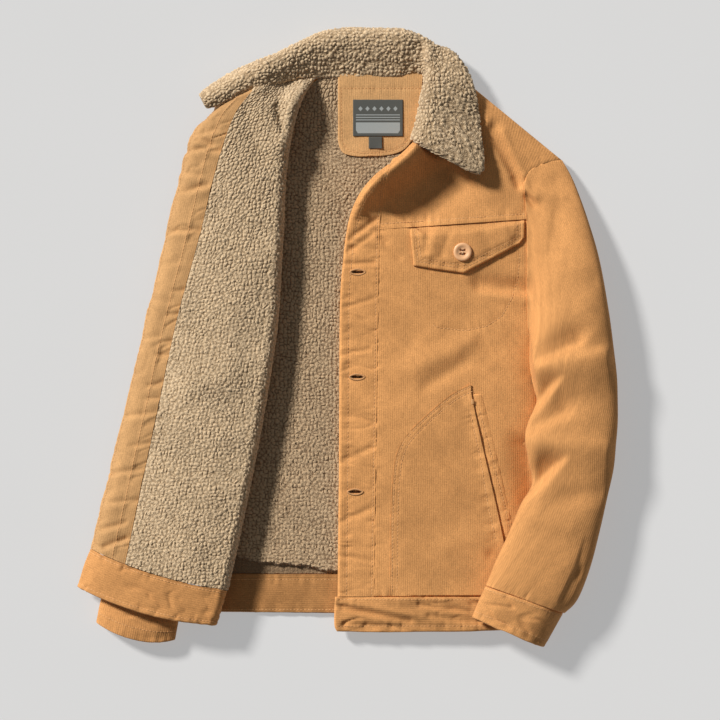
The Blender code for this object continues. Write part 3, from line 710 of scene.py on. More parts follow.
# %% The left front's form
LEVEL = 16.6
SWELL = 3.0
FRONT_WIDTH = 215.0
SIDE_DROP = 11.0
SIDE_ROLL = 34.0
SHOULDER_DROP = 8.0
SHOULDER_ROLL = 28.0
ROLL_AT = 7.0  # the opened neck edge rolls up, and its roll is highest so far behind the edge
ROLL_FOOT = 19.0  # height of the roll at its foot
ROLL_MORE = 16.0  # and what it gains on its way up the neck
HOLLOW_AT = 64.0
HOLLOW_WIDE = 24.0
HOLLOW_DEEP = 14.0
DEEPEST = 7.5  # troughs end softly before they are deeper than this
UNEVEN = ((0.55, 62.0, 11), (0.28, 24.0, 12), (0.1, 9.0, 13))  # height, size and seed of each noise
SIDE_NECK = (112.0, 332.0)
SHOULDER_TIP = (257.0, 214.0)
SIDE_Y = (-360, -310, -230, -150, -80, -35, 5)
SIDE_X = (212, 216, 224, 230, 231, 227, 217)
NECK_EDGE = through(
    (
        (-6, 92), (-3.4, 117), (0.6, 139.5), (6.5, 158), (16.5, 176.5),
        (31.5, 194), (47, 206.5), (60, 216.8), (72, 228), (83, 242),
    ), 90
)
NECK_EDGE = beside(NECK_EDGE, 0.8)
SIDE_FOLD = (Fold(214, -132, 219, -196, 9, 19, -7.5), Fold(158, 62, 216, 57, 12, 8, -6.5))
FRONT_FOLDS = (
    Fold(60, 170, 124, 196, 16, 20, -4),
    Fold(176, 250, 206, 184, 12, 7, -3.5),
    Fold(168, 258, 196, 196, 5, 6, 1.8),
    Fold(186, 246, 214, 184, 5, 6, 2.4),
    Fold(3, 119, 34, 142, 4, 3, -2.2),
    Fold(0, 103, 30, 124, 4, 3, -1.6),
    Fold(-4, 88, 31, 90, 3, 3, -1.8),
    Fold(22, 150, 46, 116, 4, 4, -1.6),
    Fold(40, 118, 62, 96, 5, 4, -1.4),
    Fold(-6, 36, 30, 46, 3, 3, -1.2),
    Fold(-8, -20, 26, -14, 3, 3, -1.2),
    Fold(-8, -92, 30, -100, 4, 4, -1.2),
    Fold(-8, -150, 28, -132, 4, 4, -1.4),
    Fold(-10, -222, 26, -206, 4, 4, -1.6),
    Fold(-10, -262, 28, -268, 4, 4, -1.3),
    Fold(170, 246, 208, 184, 8, 5, -2.4),
    Fold(183, 250, 216, 190, 9, 7, 1.5),
    Fold(211, 179, 226, 168, 6, 4, 3.5),
    Fold(216, 169, 225, 157, 4, 4, -5),
    Fold(82, -38, 146, -4, 13, 11, 2.6),
    Fold(92, -60, 140, -30, 8, 8, -2),
    Fold(64, -40, 108, 12, 12, 12, 1.2),
    Fold(156, 58, 210, 44, 8, 8, 1.8),
    Fold(78, 96, 96, 30, 10, 12, 0.9),
    Fold(120, -250, 190, -232, 14, 14, 1.2),
    Fold(60, -190, 120, -230, 14, 14, -0.9),
    Fold(172, -262, 206, -282, 7, 7, -2.2),
    Fold(-6, -325, 74, -340, 5, 3, -3.4),
    Fold(6, -320, 78, -333, 4, 5, 1.6),
    Fold(86, -321, 146, -329, 4, 3, -2.6),
    Fold(98, -334, 160, -341, 4, 3, -2.2),
    Fold(-4, -343, 62, -347, 3, 3, -1.8),
    Fold(150, -320, 205, -326, 4, 4, -2.2),
)


def side_x(y):
    """Where the left front's side seam lies at a height y."""
    return np.interp(y, SIDE_Y, SIDE_X)


def neck_roll(off, along):
    """The roll along the neck edge, bells down its lee, and the hollow behind it."""
    opened = ease((along - 32) / 66) * (1 - ease((along - 170) / 12))
    wide = 11 + 9 * ease((along - 50) / 60)
    lee = 0.75 * bell(off - ROLL_AT, wide) + 0.25 * bell(off - ROLL_AT, 2.2 * wide)
    section = np.where(off < ROLL_AT, 0.45 + 0.55 * ease(off / ROLL_AT), lee)
    crest = (ROLL_FOOT + ROLL_MORE * ease((along - 50) / 80)) * section
    return opened * (crest - HOLLOW_DEEP * ease((along - 70) / 50) * bell(off - HOLLOW_AT, HOLLOW_WIDE))


def body(x, y):
    """A swell: half a sine across, quarter circles down to side and shoulder, folds and unevenness."""
    level = LEVEL + SWELL * np.sin(pi * np.clip(x / FRONT_WIDTH, 0, 1))
    below_arm = np.clip((5 - y) / 50, 0, 1)
    level = level - SIDE_DROP * below_arm * quarter((x - side_x(y) + SIDE_ROLL) / SIDE_ROLL)
    line = np.subtract(SHOULDER_TIP, SIDE_NECK)
    line = line / np.hypot(*line)
    inside = (x - SIDE_NECK[0]) * line[1] - (y - SIDE_NECK[1]) * line[0]
    level = level - SHOULDER_DROP * quarter(1 - inside / SHOULDER_ROLL)
    dip = ridges(x, y, FRONT_FOLDS) + neck_roll(*near_line(x, y, NECK_EDGE))
    dip = np.where(dip < 0, DEEPEST * np.tanh(dip / DEEPEST), dip)
    uneven = sum(high * noise(x, y, size, seed) for high, size, seed in UNEVEN)
    return level + dip + ridges(x, y, SIDE_FOLD) + uneven


print("left front's height at its middle:", round(float(body(np.array(110.0), np.array(0.0))), 1), "mm")

# %% [markdown]
# ## Edges of the left front's panels
# Yoke, front, buttonhole placket, hem band, pocket flap, hand pocket and welt. Each is a grid between
# two measured edges, so a row of its table holds a place on the left edge and one on the right. The
# flap's rows hold a place on its top edge and one on its free end.

# %% Edges of the left front's panels
Pair = namedtuple("Pair", "x_left y_left x_right y_right")
SEAM_LINE = 1.0
FRONT_WALL = 6.5
BAND_WALL = 6.0
FLAP_WALL = 3.5
POCKET_WALL = 2.0
LAY = 0.6
FRONT_FLOOR = 10.0
YOKE = (
    Pair(112, 332, 256.6, 213.6),
    Pair(104, 318, 249, 211.5),
    Pair(97, 300, 235, 208.5),
    Pair(90, 272, 217.8, 198.5),
    Pair(83, 242, 212.8, 189.5),
    Pair(72, 228, 213, 183),
    Pair(60.4, 217.2, 213.8, 179.5),
    Pair(51, 209, 214.6, 176),
    Pair(40, 165, 216.6, 160),
    Pair(37, 129.8, 217.6, 142.3),
)
LEFT_FRONT = (
    Pair(36.9, 132.4, 217.6, 144.9),
    Pair(36.4, 94, 218, 94),
    Pair(35.7, 47, 218, 47),
    Pair(35.1, 5, 219.5, 5),
    Pair(34.5, -35, 228, -35),
    Pair(33.9, -80, 231, -80),
    Pair(32.8, -150, 230, -150),
    Pair(31.7, -230, 224, -230),
    Pair(30.5, -311, 216, -311),
)
PLACKET = (
    Pair(47, 206.5, 51.5, 207.4),
    Pair(31.5, 194, 46.2, 194),
    Pair(16.5, 176.5, 43.0, 176.5),
    Pair(6.5, 158, 40.3, 158),
    Pair(0.6, 139.5, 38.3, 139.5),
    Pair(-3.4, 117, 37.3, 117),
    Pair(-6, 92, 36.8, 92),
    Pair(-9.6, 47, 36.1, 47),
    Pair(-10.5, -50, 34.7, -50),
    Pair(-11, -156, 33.1, -156),
    Pair(-12, -250, 31.8, -250),
    Pair(-12.5, -311, 30.9, -311),
)
LEFT_BAND = (
    Pair(-15.5, -311.6, 216, -311.6),
    Pair(-16.4, -325, 215, -325),
    Pair(-16.4, -346, 213.5, -346),
    Pair(-13.5, -353.5, 213, -352.5),
)
HAND_POCKET = (
    Pair(146, -57, 147.6, -57),
    Pair(124.8, -67.8, 148, -67.8),
    Pair(97, -90.6, 152.5, -90.6),
    Pair(69.6, -118, 158.5, -118),
    Pair(58.4, -140, 163.5, -140),
    Pair(54, -167, 169.8, -167),
    Pair(51.6, -212, 180, -212),
    Pair(50.4, -309, 200, -309),
)
WELT = (
    Pair(149, -68, 160, -68),
    Pair(154.5, -90.6, 166, -90.6),
    Pair(172, -167, 184, -167),
    Pair(189, -240, 200, -240),
)
YOKE_FOOT = ((37, 129.8), (217.6, 142.3))
FLAP = (
    Pair(73.5, 133.8, 78.5, 86),
    Pair(100, 135.6, 103, 82),
    Pair(125, 137.3, 127, 78.6),
    Pair(138, 138.2, 139, 77),
    Pair(165, 140.1, 165, 90.5),
    Pair(190, 141.9, 190, 103.5),
    Pair(206, 143, 206, 112.5),
    Pair(212.5, 143.4, 211.5, 120),
)
FLAP_DEEP = 55.0
FLAP_STITCH = (
    ((79.5, 131), (84, 91), (138.8, 83), (205.8, 117.5), (206.6, 140.5)),
    ((83.2, 131), (87.4, 94.3), (138.6, 86.8), (202.2, 119.8), (203, 140.3)),
)
BAG_STITCH = (
    (102, 15), (111.6, 11.4), (141.6, 8.4), (166.8, 13.8),
    (184.8, 25.8), (196.8, 47.4), (204, 71.4), (206.4, 103.8),
)
FLAP_FOLDS = (
    Fold(106, 132, 98, 98, 6, 5, 1.3),
    Fold(124, 132, 112, 98, 5, 5, -1.5),
    Fold(96, 128, 92, 104, 4, 4, -1.0),
    Fold(160, 136, 170, 106, 7, 7, -1.3),
    Fold(186, 138, 192, 116, 6, 6, 1.1),
    Fold(150, 90, 196, 112, 4, 6, 0.8),
)
print("panels of the left front are laid to the height", LEVEL, "mm and above")

# %% [markdown]
# ## Laying the panels
# Each panel's plan is raised to the body's height. Its edges roll over, its seams pucker, and its
# topstitching follows. What lies on another panel is lifted by that panel's wall. The Shrinkwrap
# modifier could lay a flat panel on a form as well, but with a function seams and stitches get the
# same height.

# %% Laying the panels
Seam = namedtuple("Seam", "line height reach seed sewn groove", defaults=(0.35,))


def panel_height(x, y, lift, seams):
    """The body's height, the lift, and the puckers of the panel's own seams."""
    total = body(x, y) + lift
    for s in seams:
        total = total + pucker(x, y, s)
    return total


def lay_panel(
    name, plan, lift, wall, radius, sides, seams, uv=None, puff=0.0, crush=0.0, tone=0.0, deep=0.0
):
    """A panel on the left front: its plan raised to the body's height, its edges rolled over. Deep
    darkens its right edge with painted shade, where the cloth runs into the seam under the sleeve."""
    x, y = plan[..., 0], plan[..., 1]
    top = np.dstack([x, y, panel_height(x, y, lift, seams)])
    top[..., 2] += crush * creased(x * 0.4, y, 16.0, 61)
    if puff:
        left, down = spans(top)
        inset = np.minimum(np.minimum(left, left[:, -1:] - left), np.minimum(down, down[-1:] - down))
        top[..., 2] += puff * ease((inset - 5) / 12)
    top, wear_tone_and_shade = rolled(top, radius, sides, way=UPRIGHT)
    wear_tone_and_shade = wear_tone_and_shade - deep * bell(x[:, -1:] - x, 3.5)
    under = np.dstack([x, y, np.maximum(body(x, y) + lift - wall, FRONT_FLOOR)])
    under[..., 2] = np.minimum(under[..., 2], top[..., 2] - 0.4)
    uv = plan if uv is None else uv
    part = cloth(name + "_cloth", top, under, CORDUROY, uv, {"wear_tone_and_shade": wear_tone_and_shade + tone})
    for s in seams:
        if s.sewn:
            sew_on("body_stitching", top, s.line)
    return part


def sew_on(name, top, line):
    """A row of stitches along a line seen from above, laid on the nearest points of a panel's top."""
    line = np.asarray(line, float)
    run = run_length(line)
    path = sample(np.arange(0, run[-1], 1.5), run, line)
    away = ((top[..., None, :2] - path) ** 2).sum(axis=-1).reshape(-1, len(path))
    near = np.argmin(away, axis=0)
    high, up = top.reshape(-1, 3)[near, 2], normals(top).reshape(-1, 3)[near]
    stitch_row(name, np.column_stack([path, high + 0.12]), up)


def pair_plan(rows, cell):
    """The plan of a panel that is given by its left and right edge."""
    table = read(rows, cell)
    width = np.linalg.norm(table[:, 2:4] - table[:, 0:2], axis=1).max()
    return between(table[:, 0:2], table[:, 2:4], shares(width, cell))


def edge(rows, side, count=40):
    """The left or right edge of a table as a line, from the top down."""
    table = through(rows, count)
    return table[:, 0:2] if side == "l" else table[:, 2:4]


print("rows and columns of the yoke's plan:", pair_plan(YOKE, 1.7).shape[:2])

# %% [markdown]
# ## Yoke, front and placket
# The yoke covers the shoulder, the front hangs from it, and the placket is the doubled strip with the
# buttonholes. They could be one surface with drawn seams. But real panels overlap and catch the light
# at their edges, so each is a piece of its own. The shoulder's wales fan out, because its cloth lies
# turned.

# %% Yoke, front and placket
yoke_plan = pair_plan(YOKE, 1.7)
FAN = (150.0, 60.0)  # the shoulder's wales spread from here
fan_u = FAN[0] + 150 * np.arctan2(yoke_plan[..., 0] - FAN[0], yoke_plan[..., 1] - FAN[1])
fan_share = ease((yoke_plan[..., 0] - FAN[0]) / 30) * ease((yoke_plan[..., 1] - 172) / 30)
yoke_uv = np.dstack([yoke_plan[..., 0] + fan_share * (fan_u - yoke_plan[..., 0]), yoke_plan[..., 1]])
yoke_seam = ((40, 136.5), (120, 142), (213, 148.5))
arm_seam = ((256.6, 213.6), (236, 208), (219, 198.5), (212, 188))
foot_off = near_line(yoke_plan[..., 0], yoke_plan[..., 1], YOKE_FOOT)[0]
yoke_lift = 2.0 * bell(foot_off, 7) * ease((yoke_plan[..., 0] - 66) / 12)
# Yoke and front get deep=2.8: painted shade along their right edge, where they run in under the sleeve.
lay_panel("left_yoke", yoke_plan, yoke_lift, FRONT_WALL, SEAM_LINE, "lrt", (
    Seam(yoke_seam, 0.9, 8, 31, True),
    Seam(arm_seam, 1.1, 10, 33, False),
), yoke_uv, deep=2.8)

front_plan = pair_plan(LEFT_FRONT, 1.6)
foot_off = near_line(front_plan[..., 0], front_plan[..., 1], YOKE_FOOT)[0]
lay_panel("left_front", front_plan, -0.35 * bell(foot_off, 4), FRONT_WALL, SEAM_LINE, "rb", (
    Seam(edge(LEFT_FRONT, "l"), 0.7, 9, 35, False),
    Seam(((30.5, -311), (216, -311)), 1.2, 15, 37, False),
    Seam(BAG_STITCH, 0.6, 7, 39, True),
), deep=2.8)

placket_line = beside(edge(PLACKET, "l"), 10.5)[5:]
lay_panel("left_placket", pair_plan(PLACKET, 1.4), 0.35, FRONT_WALL, 3.4, "l", (
    Seam(placket_line, 1.2, 9, 41, True),
    Seam(beside(edge(PLACKET, "r"), -2.6)[3:], 0.8, 8, 43, True),
), crush=0.6)

# %% [markdown]
# ## Hem band, flap and pocket
# The hem band is cloth folded over a stiffener, the flap closes the chest pocket, and the welt edges
# the hand pocket's mouth. They are sewn on the front, so they are lifted by its height and not cut
# into it. The flap comes out of the yoke's seam, the band's lower edge waves a little, and the mouth
# stands a little open.

# %% Hem band, flap and pocket
band_plan = pair_plan(LEFT_BAND, 1.5)
along_band = band_plan[..., 0]
waved = 1.2 * noise(along_band, np.zeros(along_band.shape), 24.0, 63)
band_plan[..., 1] += waved * ease((-325 - band_plan[..., 1]) / 25)
lay_panel("left_hem_band", band_plan, 0.8, BAND_WALL + 1, 2.2, "lrtb", (
    Seam(((-14, -314.6), (215, -314.6)), 0.9, 8, 45, True),
    Seam(((-14, -346.5), (212, -345.8)), 1.0, 7, 47, True),
), band_plan[..., ::-1], puff=0.8, crush=2.2, tone=-1.0)

flap = sample(np.linspace(0, len(FLAP) - 1, 4 * 26 + 1), np.arange(len(FLAP)), FLAP)
flap_down = shares(FLAP_DEEP, 1.3)
flap_plan = np.swapaxes(between(flap[:, 0:2], flap[:, 2:4], flap_down), 0, 1)
hung = ease(flap_down * FLAP_DEEP / 14)[:, None]  # the flap comes out of the yoke's seam
flap_lift = np.broadcast_to(-0.3 + (LAY + FLAP_WALL + 0.3) * hung, flap_plan.shape[:2])
flap_lift = flap_lift + hung * ridges(flap_plan[..., 0], flap_plan[..., 1], FLAP_FOLDS)
lay_panel("chest_flap", flap_plan, flap_lift, FLAP_WALL, 2.4, "lrb", (
    Seam(FLAP_STITCH[0], 0.5, 6, 49, True, 0.5),
    Seam(FLAP_STITCH[1], 0.4, 6, 51, True, 0.4),
), puff=1.6, crush=0.5, tone=-0.3)

arch_edge = edge(HAND_POCKET, "l")
pocket_plan = pair_plan(HAND_POCKET, 1.8)
mouth = pocket_plan[:, -1:, 0] - pocket_plan[..., 0]
lay_panel("hand_pocket", pocket_plan, 0.6 + 2.0 * bell(mouth, 8), POCKET_WALL, 0.7, "", (
    Seam(beside(arch_edge, 2.4), 0.6, 6, 53, True),
    Seam(beside(arch_edge, 8.2), 0.6, 7, 55, True),
    Seam(((146.4, -89.4), (159.6, -149.4), (168, -202.2), (178, -246)), 1.2, 8, 57, True),
), tone=-0.5)

welt_plan = pair_plan(WELT, 1.4)
welt_lift = np.broadcast_to(0.25 + 0.7 * np.sin(pi * shares(11.5, 1.4)), welt_plan.shape[:2])
lay_panel("pocket_welt", welt_plan, welt_lift, POCKET_WALL, 1.0, "tb", (
    Seam(((157, -84), (164.4, -112), (189, -205.8), (196, -237)), 1.0, 6, 59, True),
))

# %% [markdown]
# ## Curled pile
# Sherpa fleece is a felt of small curls, each four to six millimetres long, packed like pebbles. Each
# curl has a centre at a jittered place in a cell of its own. A point is high where its nearest centre
# is much nearer than the next one, and low in the gap between two curls. Noise bends the pattern, so
# that no rows show. The same height moves the grid outwards and is kept as a mark, which the finish
# uses to darken the roots: partly their own colour, partly painted shade in the gaps between curls.

# %% Curled pile
CURL = 4.6
PILE_DEEP = 2.1
PILE_BASE = 1.3
PACK = (61, 59, 17)  # cells along x, y and z before the packing repeats


def pebbles(points, seed, loose):
    """Curls packed in space: the step from the nearest centre to the next one, times a rounded top.
    Loose is how far centres stray upwards; they stay level for a pile on flat cloth."""
    stray = np.array([0.8, 0.8, loose])[:, None, None]
    table = np.random.default_rng(seed).random((4, *PACK))
    place = points / CURL
    i, j, k = np.moveaxis(np.floor(place).astype(int), -1, 0)
    first, second, tall = np.full(i.shape, 9.0), np.full(i.shape, 9.0), np.zeros(i.shape)
    for a, b, c in np.ndindex(3, 3, 3):
        corner = np.stack([i + a - 1, j + b - 1, k + c - 1])
        cell = [number % size for number, size in zip(corner, PACK)]
        chance = table[:, cell[0], cell[1], cell[2]]
        centre = corner + 0.5 + stray * (chance[:3] - 0.5)
        away = np.linalg.norm(np.moveaxis(place, -1, 0) - centre, axis=0)
        nearer = away < first
        second = np.where(nearer, first, np.minimum(second, away))
        tall = np.where(nearer, chance[3], tall)
        first = np.minimum(first, away)
    dome = 1 - 0.45 * np.clip(first, 0, 1) ** 2
    return ease((second - first) / 0.36), (0.62 + 0.38 * tall) * dome


def curls(points, seed, loose=0.8):
    """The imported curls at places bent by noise; some gaps are shallow, so that curls run together."""
    x, y = points[..., 0], points[..., 1]
    bend = np.stack([noise(x, y, 7.0, seed + 1), noise(x, y, 7.0, seed + 2), np.zeros(x.shape)], axis=-1)
    apart, top = pebbles(points + 1.3 * bend, seed, loose)
    deep = 0.82 + 0.18 * noise(x, y, 5.0, seed + 3)
    return (1 - deep * (1 - apart)) * top


def piled(points, seed, amount=1.0, ring=False, uv=None):
    """A smooth grid with the pile on it, and the pile's height as a mark. With a UV map the curls lie
    level on the cloth, otherwise they are packed in space."""
    if uv is None:
        curl = curls(points, seed)
    else:
        curl = curls(np.dstack([uv, np.full(uv.shape[:2], CURL / 2)]), seed, 0.25)
    lift = amount * (PILE_DEEP * curl - PILE_BASE)
    return points + np.asarray(lift)[..., None] * normals(points, ring), curl


patch = np.dstack([*np.mgrid[0:60:0.7, 0:60:0.7], np.full((86, 86), 9.0)])
print("mean curl height:", round(float(curls(patch, 3).mean()), 2))

# %% [markdown]
# ## The back
# Corduroy back, its hem band, the fleece lining that shows in the opening, and the half-moon facing at
# the neck with its label and size tab. Only the opening needs a fine pile, so the lining's columns lie
# close there and wide where the fronts cover it. Near the hem the lining rolls down to the band.

# %% The back
BACK = (
    Pair(-20, 326, 102, 333),
    Pair(-30, 317, 110, 324),
    Pair(-60, 300, 134, 306),
    Pair(-105, 270, 172, 276),
    Pair(-142, 240, 206, 243),
    Pair(-158, 214, 230, 217),
    Pair(-148, 190, 213, 192),
    Pair(-146, 150, 217, 150),
    Pair(-147, 80, 218, 80),
    Pair(-147, 0, 216, 0),
    Pair(-156, -100, 229, -100),
    Pair(-165, -200, 226, -200),
    Pair(-174, -287, 218, -287),
)
# The lining's edges, and the part of it that the opening shows.
Opened = namedtuple("Opened", "x_left y_left x_right y_right show_left show_right")
BACK_LINING = (
    Opened(-32, 320, 92, 320, -32, 0),
    Opened(-36, 311, 90, 311, -36, 0),
    Opened(-50, 300, 94, 300, -50, 2),
    Opened(-76, 270, 122, 270, -72, 6),
    Opened(-100, 240, 154, 240, -86, 40),
    Opened(-115, 214, 180, 214, -92, 72),
    Opened(-132, 150, 200, 150, -98, 42),
    Opened(-136, 50, 204, 50, -106, 22),
    Opened(-140, -50, 196, -50, -118, 16),
    Opened(-146, -150, 195, -150, -134, 15),
    Opened(-154, -230, 190, -230, -148, 14),
    Opened(-162, -284, 184, -284, -160, 14),
)
BACK_BAND = (
    Pair(-166, -285.0, 203, -285.0),
    Pair(-169, -309, 201, -309),
    Pair(-172, -330, 199, -334),
)
NECK_FACING = (
    Pair(-12, 326, 104, 326),
    Pair(-12, 321, 98, 321),
    Pair(-12, 316, 91, 316),
    Pair(-12, 285, 88, 285),
    Pair(-12, 255, 83, 255),
    Pair(-12, 238, 77, 238),
    Pair(-9, 226, 69, 227),
    Pair(-2, 220, 56, 221),
    Pair(14, 217.5, 40, 218.5),
)
NECK_STITCH = (
    (-8, 300), (-8, 256), (-7.5, 240), (-4.5, 230), (3, 224),
    (16, 221.5), (38, 222.5), (54, 225), (66, 231), (73, 240),
)
LINING_TOP = 9.3
LINING_UNDER = 2.3
LINING_STEP = 5.6  # what the lining drops at its foot
LINING_FOOT = ((-162, -252), (-128, -261), (-97, -269), (-14, -279), (20, -281))
NECK_TOP = 11.6
print("the lining's top lies at", LINING_TOP, "mm and the neck facing's at", NECK_TOP, "mm")

# %% [markdown]
# ## Laying the back
# The back's panels lie nearly level on the floor, so a flat plan with a little unevenness is enough.
# The lining's pile could be strands of hair, but they are slow and get lost at the export. Here the
# pile is in the mesh, whole where the opening shows it and faint where the fronts cover it.

# %% Laying the back
def lay_flat(name, plan, top, wall, radius, sides, uneven=0.0, uv=None, seams=(), tone=0.0):
    """A panel that lies level on the back, with a little unevenness and puckered seams."""
    x, y = plan[..., 0], plan[..., 1]
    level = top + uneven * (noise(x, y, 22.0, 71) - 0.4)
    for s in seams:
        level = level + pucker(x, y, s)
    points, wear_tone_and_shade = rolled(np.dstack([x, y, level]), radius, sides)
    under = np.dstack([x, y, np.full(x.shape, top - wall)])
    uv = plan if uv is None else uv
    finish = FACINGS if name == "neck_facing" else CORDUROY
    part = cloth(name + "_cloth", points, under, finish, uv, {"wear_tone_and_shade": wear_tone_and_shade + tone})
    for s in seams:
        sew_on("back_stitching", points, s.line)
    return part


lay_flat("back_panel", pair_plan(BACK, 5.0), 2.0, 2.0, 0.9, "lrtb")
band_plan = pair_plan(BACK_BAND, 2.0)
# The back hem band's tone of -2.1 is painted shade: the band lies in the fold's shadow and under the
# lining's edge.
lay_flat("back_hem_band", band_plan, BAND_WALL, BAND_WALL, 2.0, "lrb", 0.5, band_plan[..., ::-1], (
    Seam(((-164, -291), (200, -291)), 0.9, 12, 73, True),
    Seam(((-168, -327), (198, -328)), 0.9, 9, 75, True),
), -2.1)

b = named(Opened, read(BACK_LINING, 1.3))
columns = np.hstack([
    b.x_left + (b.show_left - b.x_left) * np.linspace(0, 1, 5)[None, :4],
    b.show_left + (b.show_right - b.show_left) * np.linspace(0, 1, 121)[None],
    b.show_right + (b.x_right - b.show_right) * np.linspace(0, 1, 5)[None, 1:],
])
columns[:, :5] = np.minimum(columns[:, :5], b.show_left)
lining_y = np.repeat(b.y_left, columns.shape[1], axis=1)
foot = np.interp(columns, *np.array(LINING_FOOT).T)
foot = foot + 1.6 * noise(columns, lining_y, 7.0, 83) + 2.0 * noise(columns, lining_y, 22.0, 85)
past_foot = ease((foot - lining_y) / 4)
level = LINING_TOP + 0.6 * noise(columns, lining_y, 40.0, 81) - LINING_STEP * past_foot
smooth = np.dstack([columns, lining_y, level])
open_share = np.minimum(ease((columns - b.show_left) / 12), ease((b.show_right - columns) / 12))
lining_uv = np.dstack([columns, lining_y])
pile_top, curl = piled(smooth, 201, (0.15 + 0.85 * open_share) * (1 - 0.4 * past_foot), uv=lining_uv)
# Past its foot the curls take the root colour: painted shade on the strip that runs down to the band.
curl = curl * (1 - 0.8 * past_foot)
under = smooth.copy()
under[..., 2] = LINING_UNDER
# The back's lining gets the darker copy of the fleece: painted shade, as it lies deep between the fronts.
cloth("back_lining_cloth", pile_top, under, SHADED_BACK_FLEECE, lining_uv, {"curl": curl})

lay_flat("neck_facing", pair_plan(NECK_FACING, 1.5), NECK_TOP, 1.7, 1.0, "lrb", 0.5, None, (
    Seam(NECK_STITCH, 0.25, 5, 77, True),
    Seam(((-11, 299.5), (88, 299.5)), 0.4, 6, 79, True),
))

# %% [markdown]
# ## Label and size tab
# The label is a woven patch with a turned edge. Its design is a plain one of this scene's own: a pale
# lower field, three bars and a row of lozenges, each a thin raised weave. The size tab stays bare.

# %% Label and size tab
LABEL_BOX = (6.0, 66.0, 242.0, 286.0)  # left, right, low and high
TAB_BOX = (25.0, 41.0, 227.0, 241.4)
LABEL_TOP = 12.7
LABEL_WALL = 0.8
WEAVE_LOW, WEAVE_HIGH = LABEL_TOP - 0.1, LABEL_TOP + 0.22
FIELD = (9.5, 62.5)  # the figures' left and right end
BARS = (261, 264, 267)
BAR_HIGH = 1.1


def tab(name, box, material, bend):
    """A thin patch of cloth: a rectangle whose lower corners lift a little."""
    left, right, low, high = box
    v, u = np.meshgrid(shares(high - low, 1.6), shares(right - left, 1.6), indexing="ij")
    x, y = left + (right - left) * u, high - (high - low) * v
    lift = bend * (v**2) * (2 * u - 1) ** 2
    points, wear_tone_and_shade = rolled(np.dstack([x, y, LABEL_TOP + lift]), 0.5, "lrtb")
    under = np.dstack([x, y, LABEL_TOP - LABEL_WALL + lift])
    uv = np.dstack([x, y])
    return cloth(name + "_cloth", points, under, material, uv, {"wear_tone_and_shade": wear_tone_and_shade})


def prisms(outlines, low, high):
    """Closed outlines made into upright prisms: all their points and faces."""
    points, faces = [], []
    for outline in outlines:
        n, start = len(outline), len(points)
        points += [(x, y, z) for z in (low, high) for x, y in outline]
        faces.append([start + n + k for k in range(n)])
        faces.append([start + n - 1 - k for k in range(n)])
        for k in range(n):
            after = (k + 1) % n
            faces.append([start + k, start + after, start + n + after, start + n + k])
    return np.array(points), faces


def bar(low, high):
    """The outline of a bar as wide as the field."""
    left, right = FIELD
    return [(left, low), (right, low), (right, high), (left, high)]


tab("neck_label", LABEL_BOX, LABEL_DARK, 0.4)
tab("size_tab", TAB_BOX, LABEL_DARK, 0.8)
lozenges = [[(x - 2.6, 275), (x, 272), (x + 2.6, 275), (x, 278)] for x in np.linspace(15, 57, 6)]
bars = [bar(245.5, 258.5)] + [bar(y, y + BAR_HIGH) for y in BARS]
points, faces = prisms(bars + lozenges, WEAVE_LOW, WEAVE_HIGH)
carried(mesh_piece("label_figures", points, faces, LABEL_PALE, points[:, :2], {}))
print("figures on the label:", len(bars) + len(lozenges))

# %% [markdown]
# ## Sleeves and cuffs
# Each sleeve is an arch over a flat underside. The lines across it follow the armhole at the head and
# straighten down the arm. The elbow's deep folds are listed one by one, and the wales run down the sleeve.

# %% Sleeves and cuffs
Station = namedtuple(
    "Station", "x_left y_left x_right y_right seam edge_left edge_right crown tuck under_left under_right"
)
Ring = namedtuple("Ring", "x_left y_left x_right y_right edge_left edge_right crown low_left low_right bow")
SLEEVE_WALL = 4.0
TOP_ARCH = 2.5  # powers of the arches across a sleeve and a cuff
UNDER_ARCH = 8.0
CUFF_ARCH = 2.2
SLEEVE_FOLDS = (
    Fold(219, 187, 222, 184, 6, 6, -4),
    Fold(247, 189, 250, 186, 6, 6, -3.5),
    Fold(210, 178, 226, 168, 6, 3, 4),
    Fold(213, 172, 224, 158, 4, 4, -5),
    Fold(226, 176, 258, 168, 5, 8, 3),
    Fold(229, 166, 231, 148, 4, 5, -4),
    Fold(224, 160, 224, 110, 5, 5, 2.5),
    Fold(253, 162, 244, 104, 12, 7, -4),
    Fold(212, -30, 272, -4, 17, 7, -6.5),
    Fold(212, -43, 330, -18, 10, 27, 5.5),
    Fold(254, -37, 222, -80, 5, 21, -12, 0.55),
    Fold(250, -66, 234, -90, 18, 5, 2.2, 0.6),
    Fold(212, -109, 256, -88, 15, 9, -7),
    Fold(210, -129, 330, -137, 14, 25, 5),
    Fold(264, -132, 220, -177, 5, 20, -12, 0.55),
    Fold(262, -158, 232, -188, 18, 5, 2.4, 0.6),
    Fold(232, 40, 290, 66, 16, 16, -1.6),
    Fold(240, -196, 296, -186, 12, 12, -2),
    Fold(214, -214, 262, -228, 12, 12, 1.8),
    Fold(289, -226, 272, -281, 8, 2.5, -1.7, 0.8),
    Fold(272, -281, 256, -312, 10, 2.5, -2.4),
)
ARMHOLE = (
    (217.8, 8),
    (216.8, 47),
    (216.9, 94),
    (216.5, 142),
    (213.9, 176),
    (212.9, 188),
    (219.2, 198.2),
    (236.0, 207.9),
    (257.6, 212.2),
)
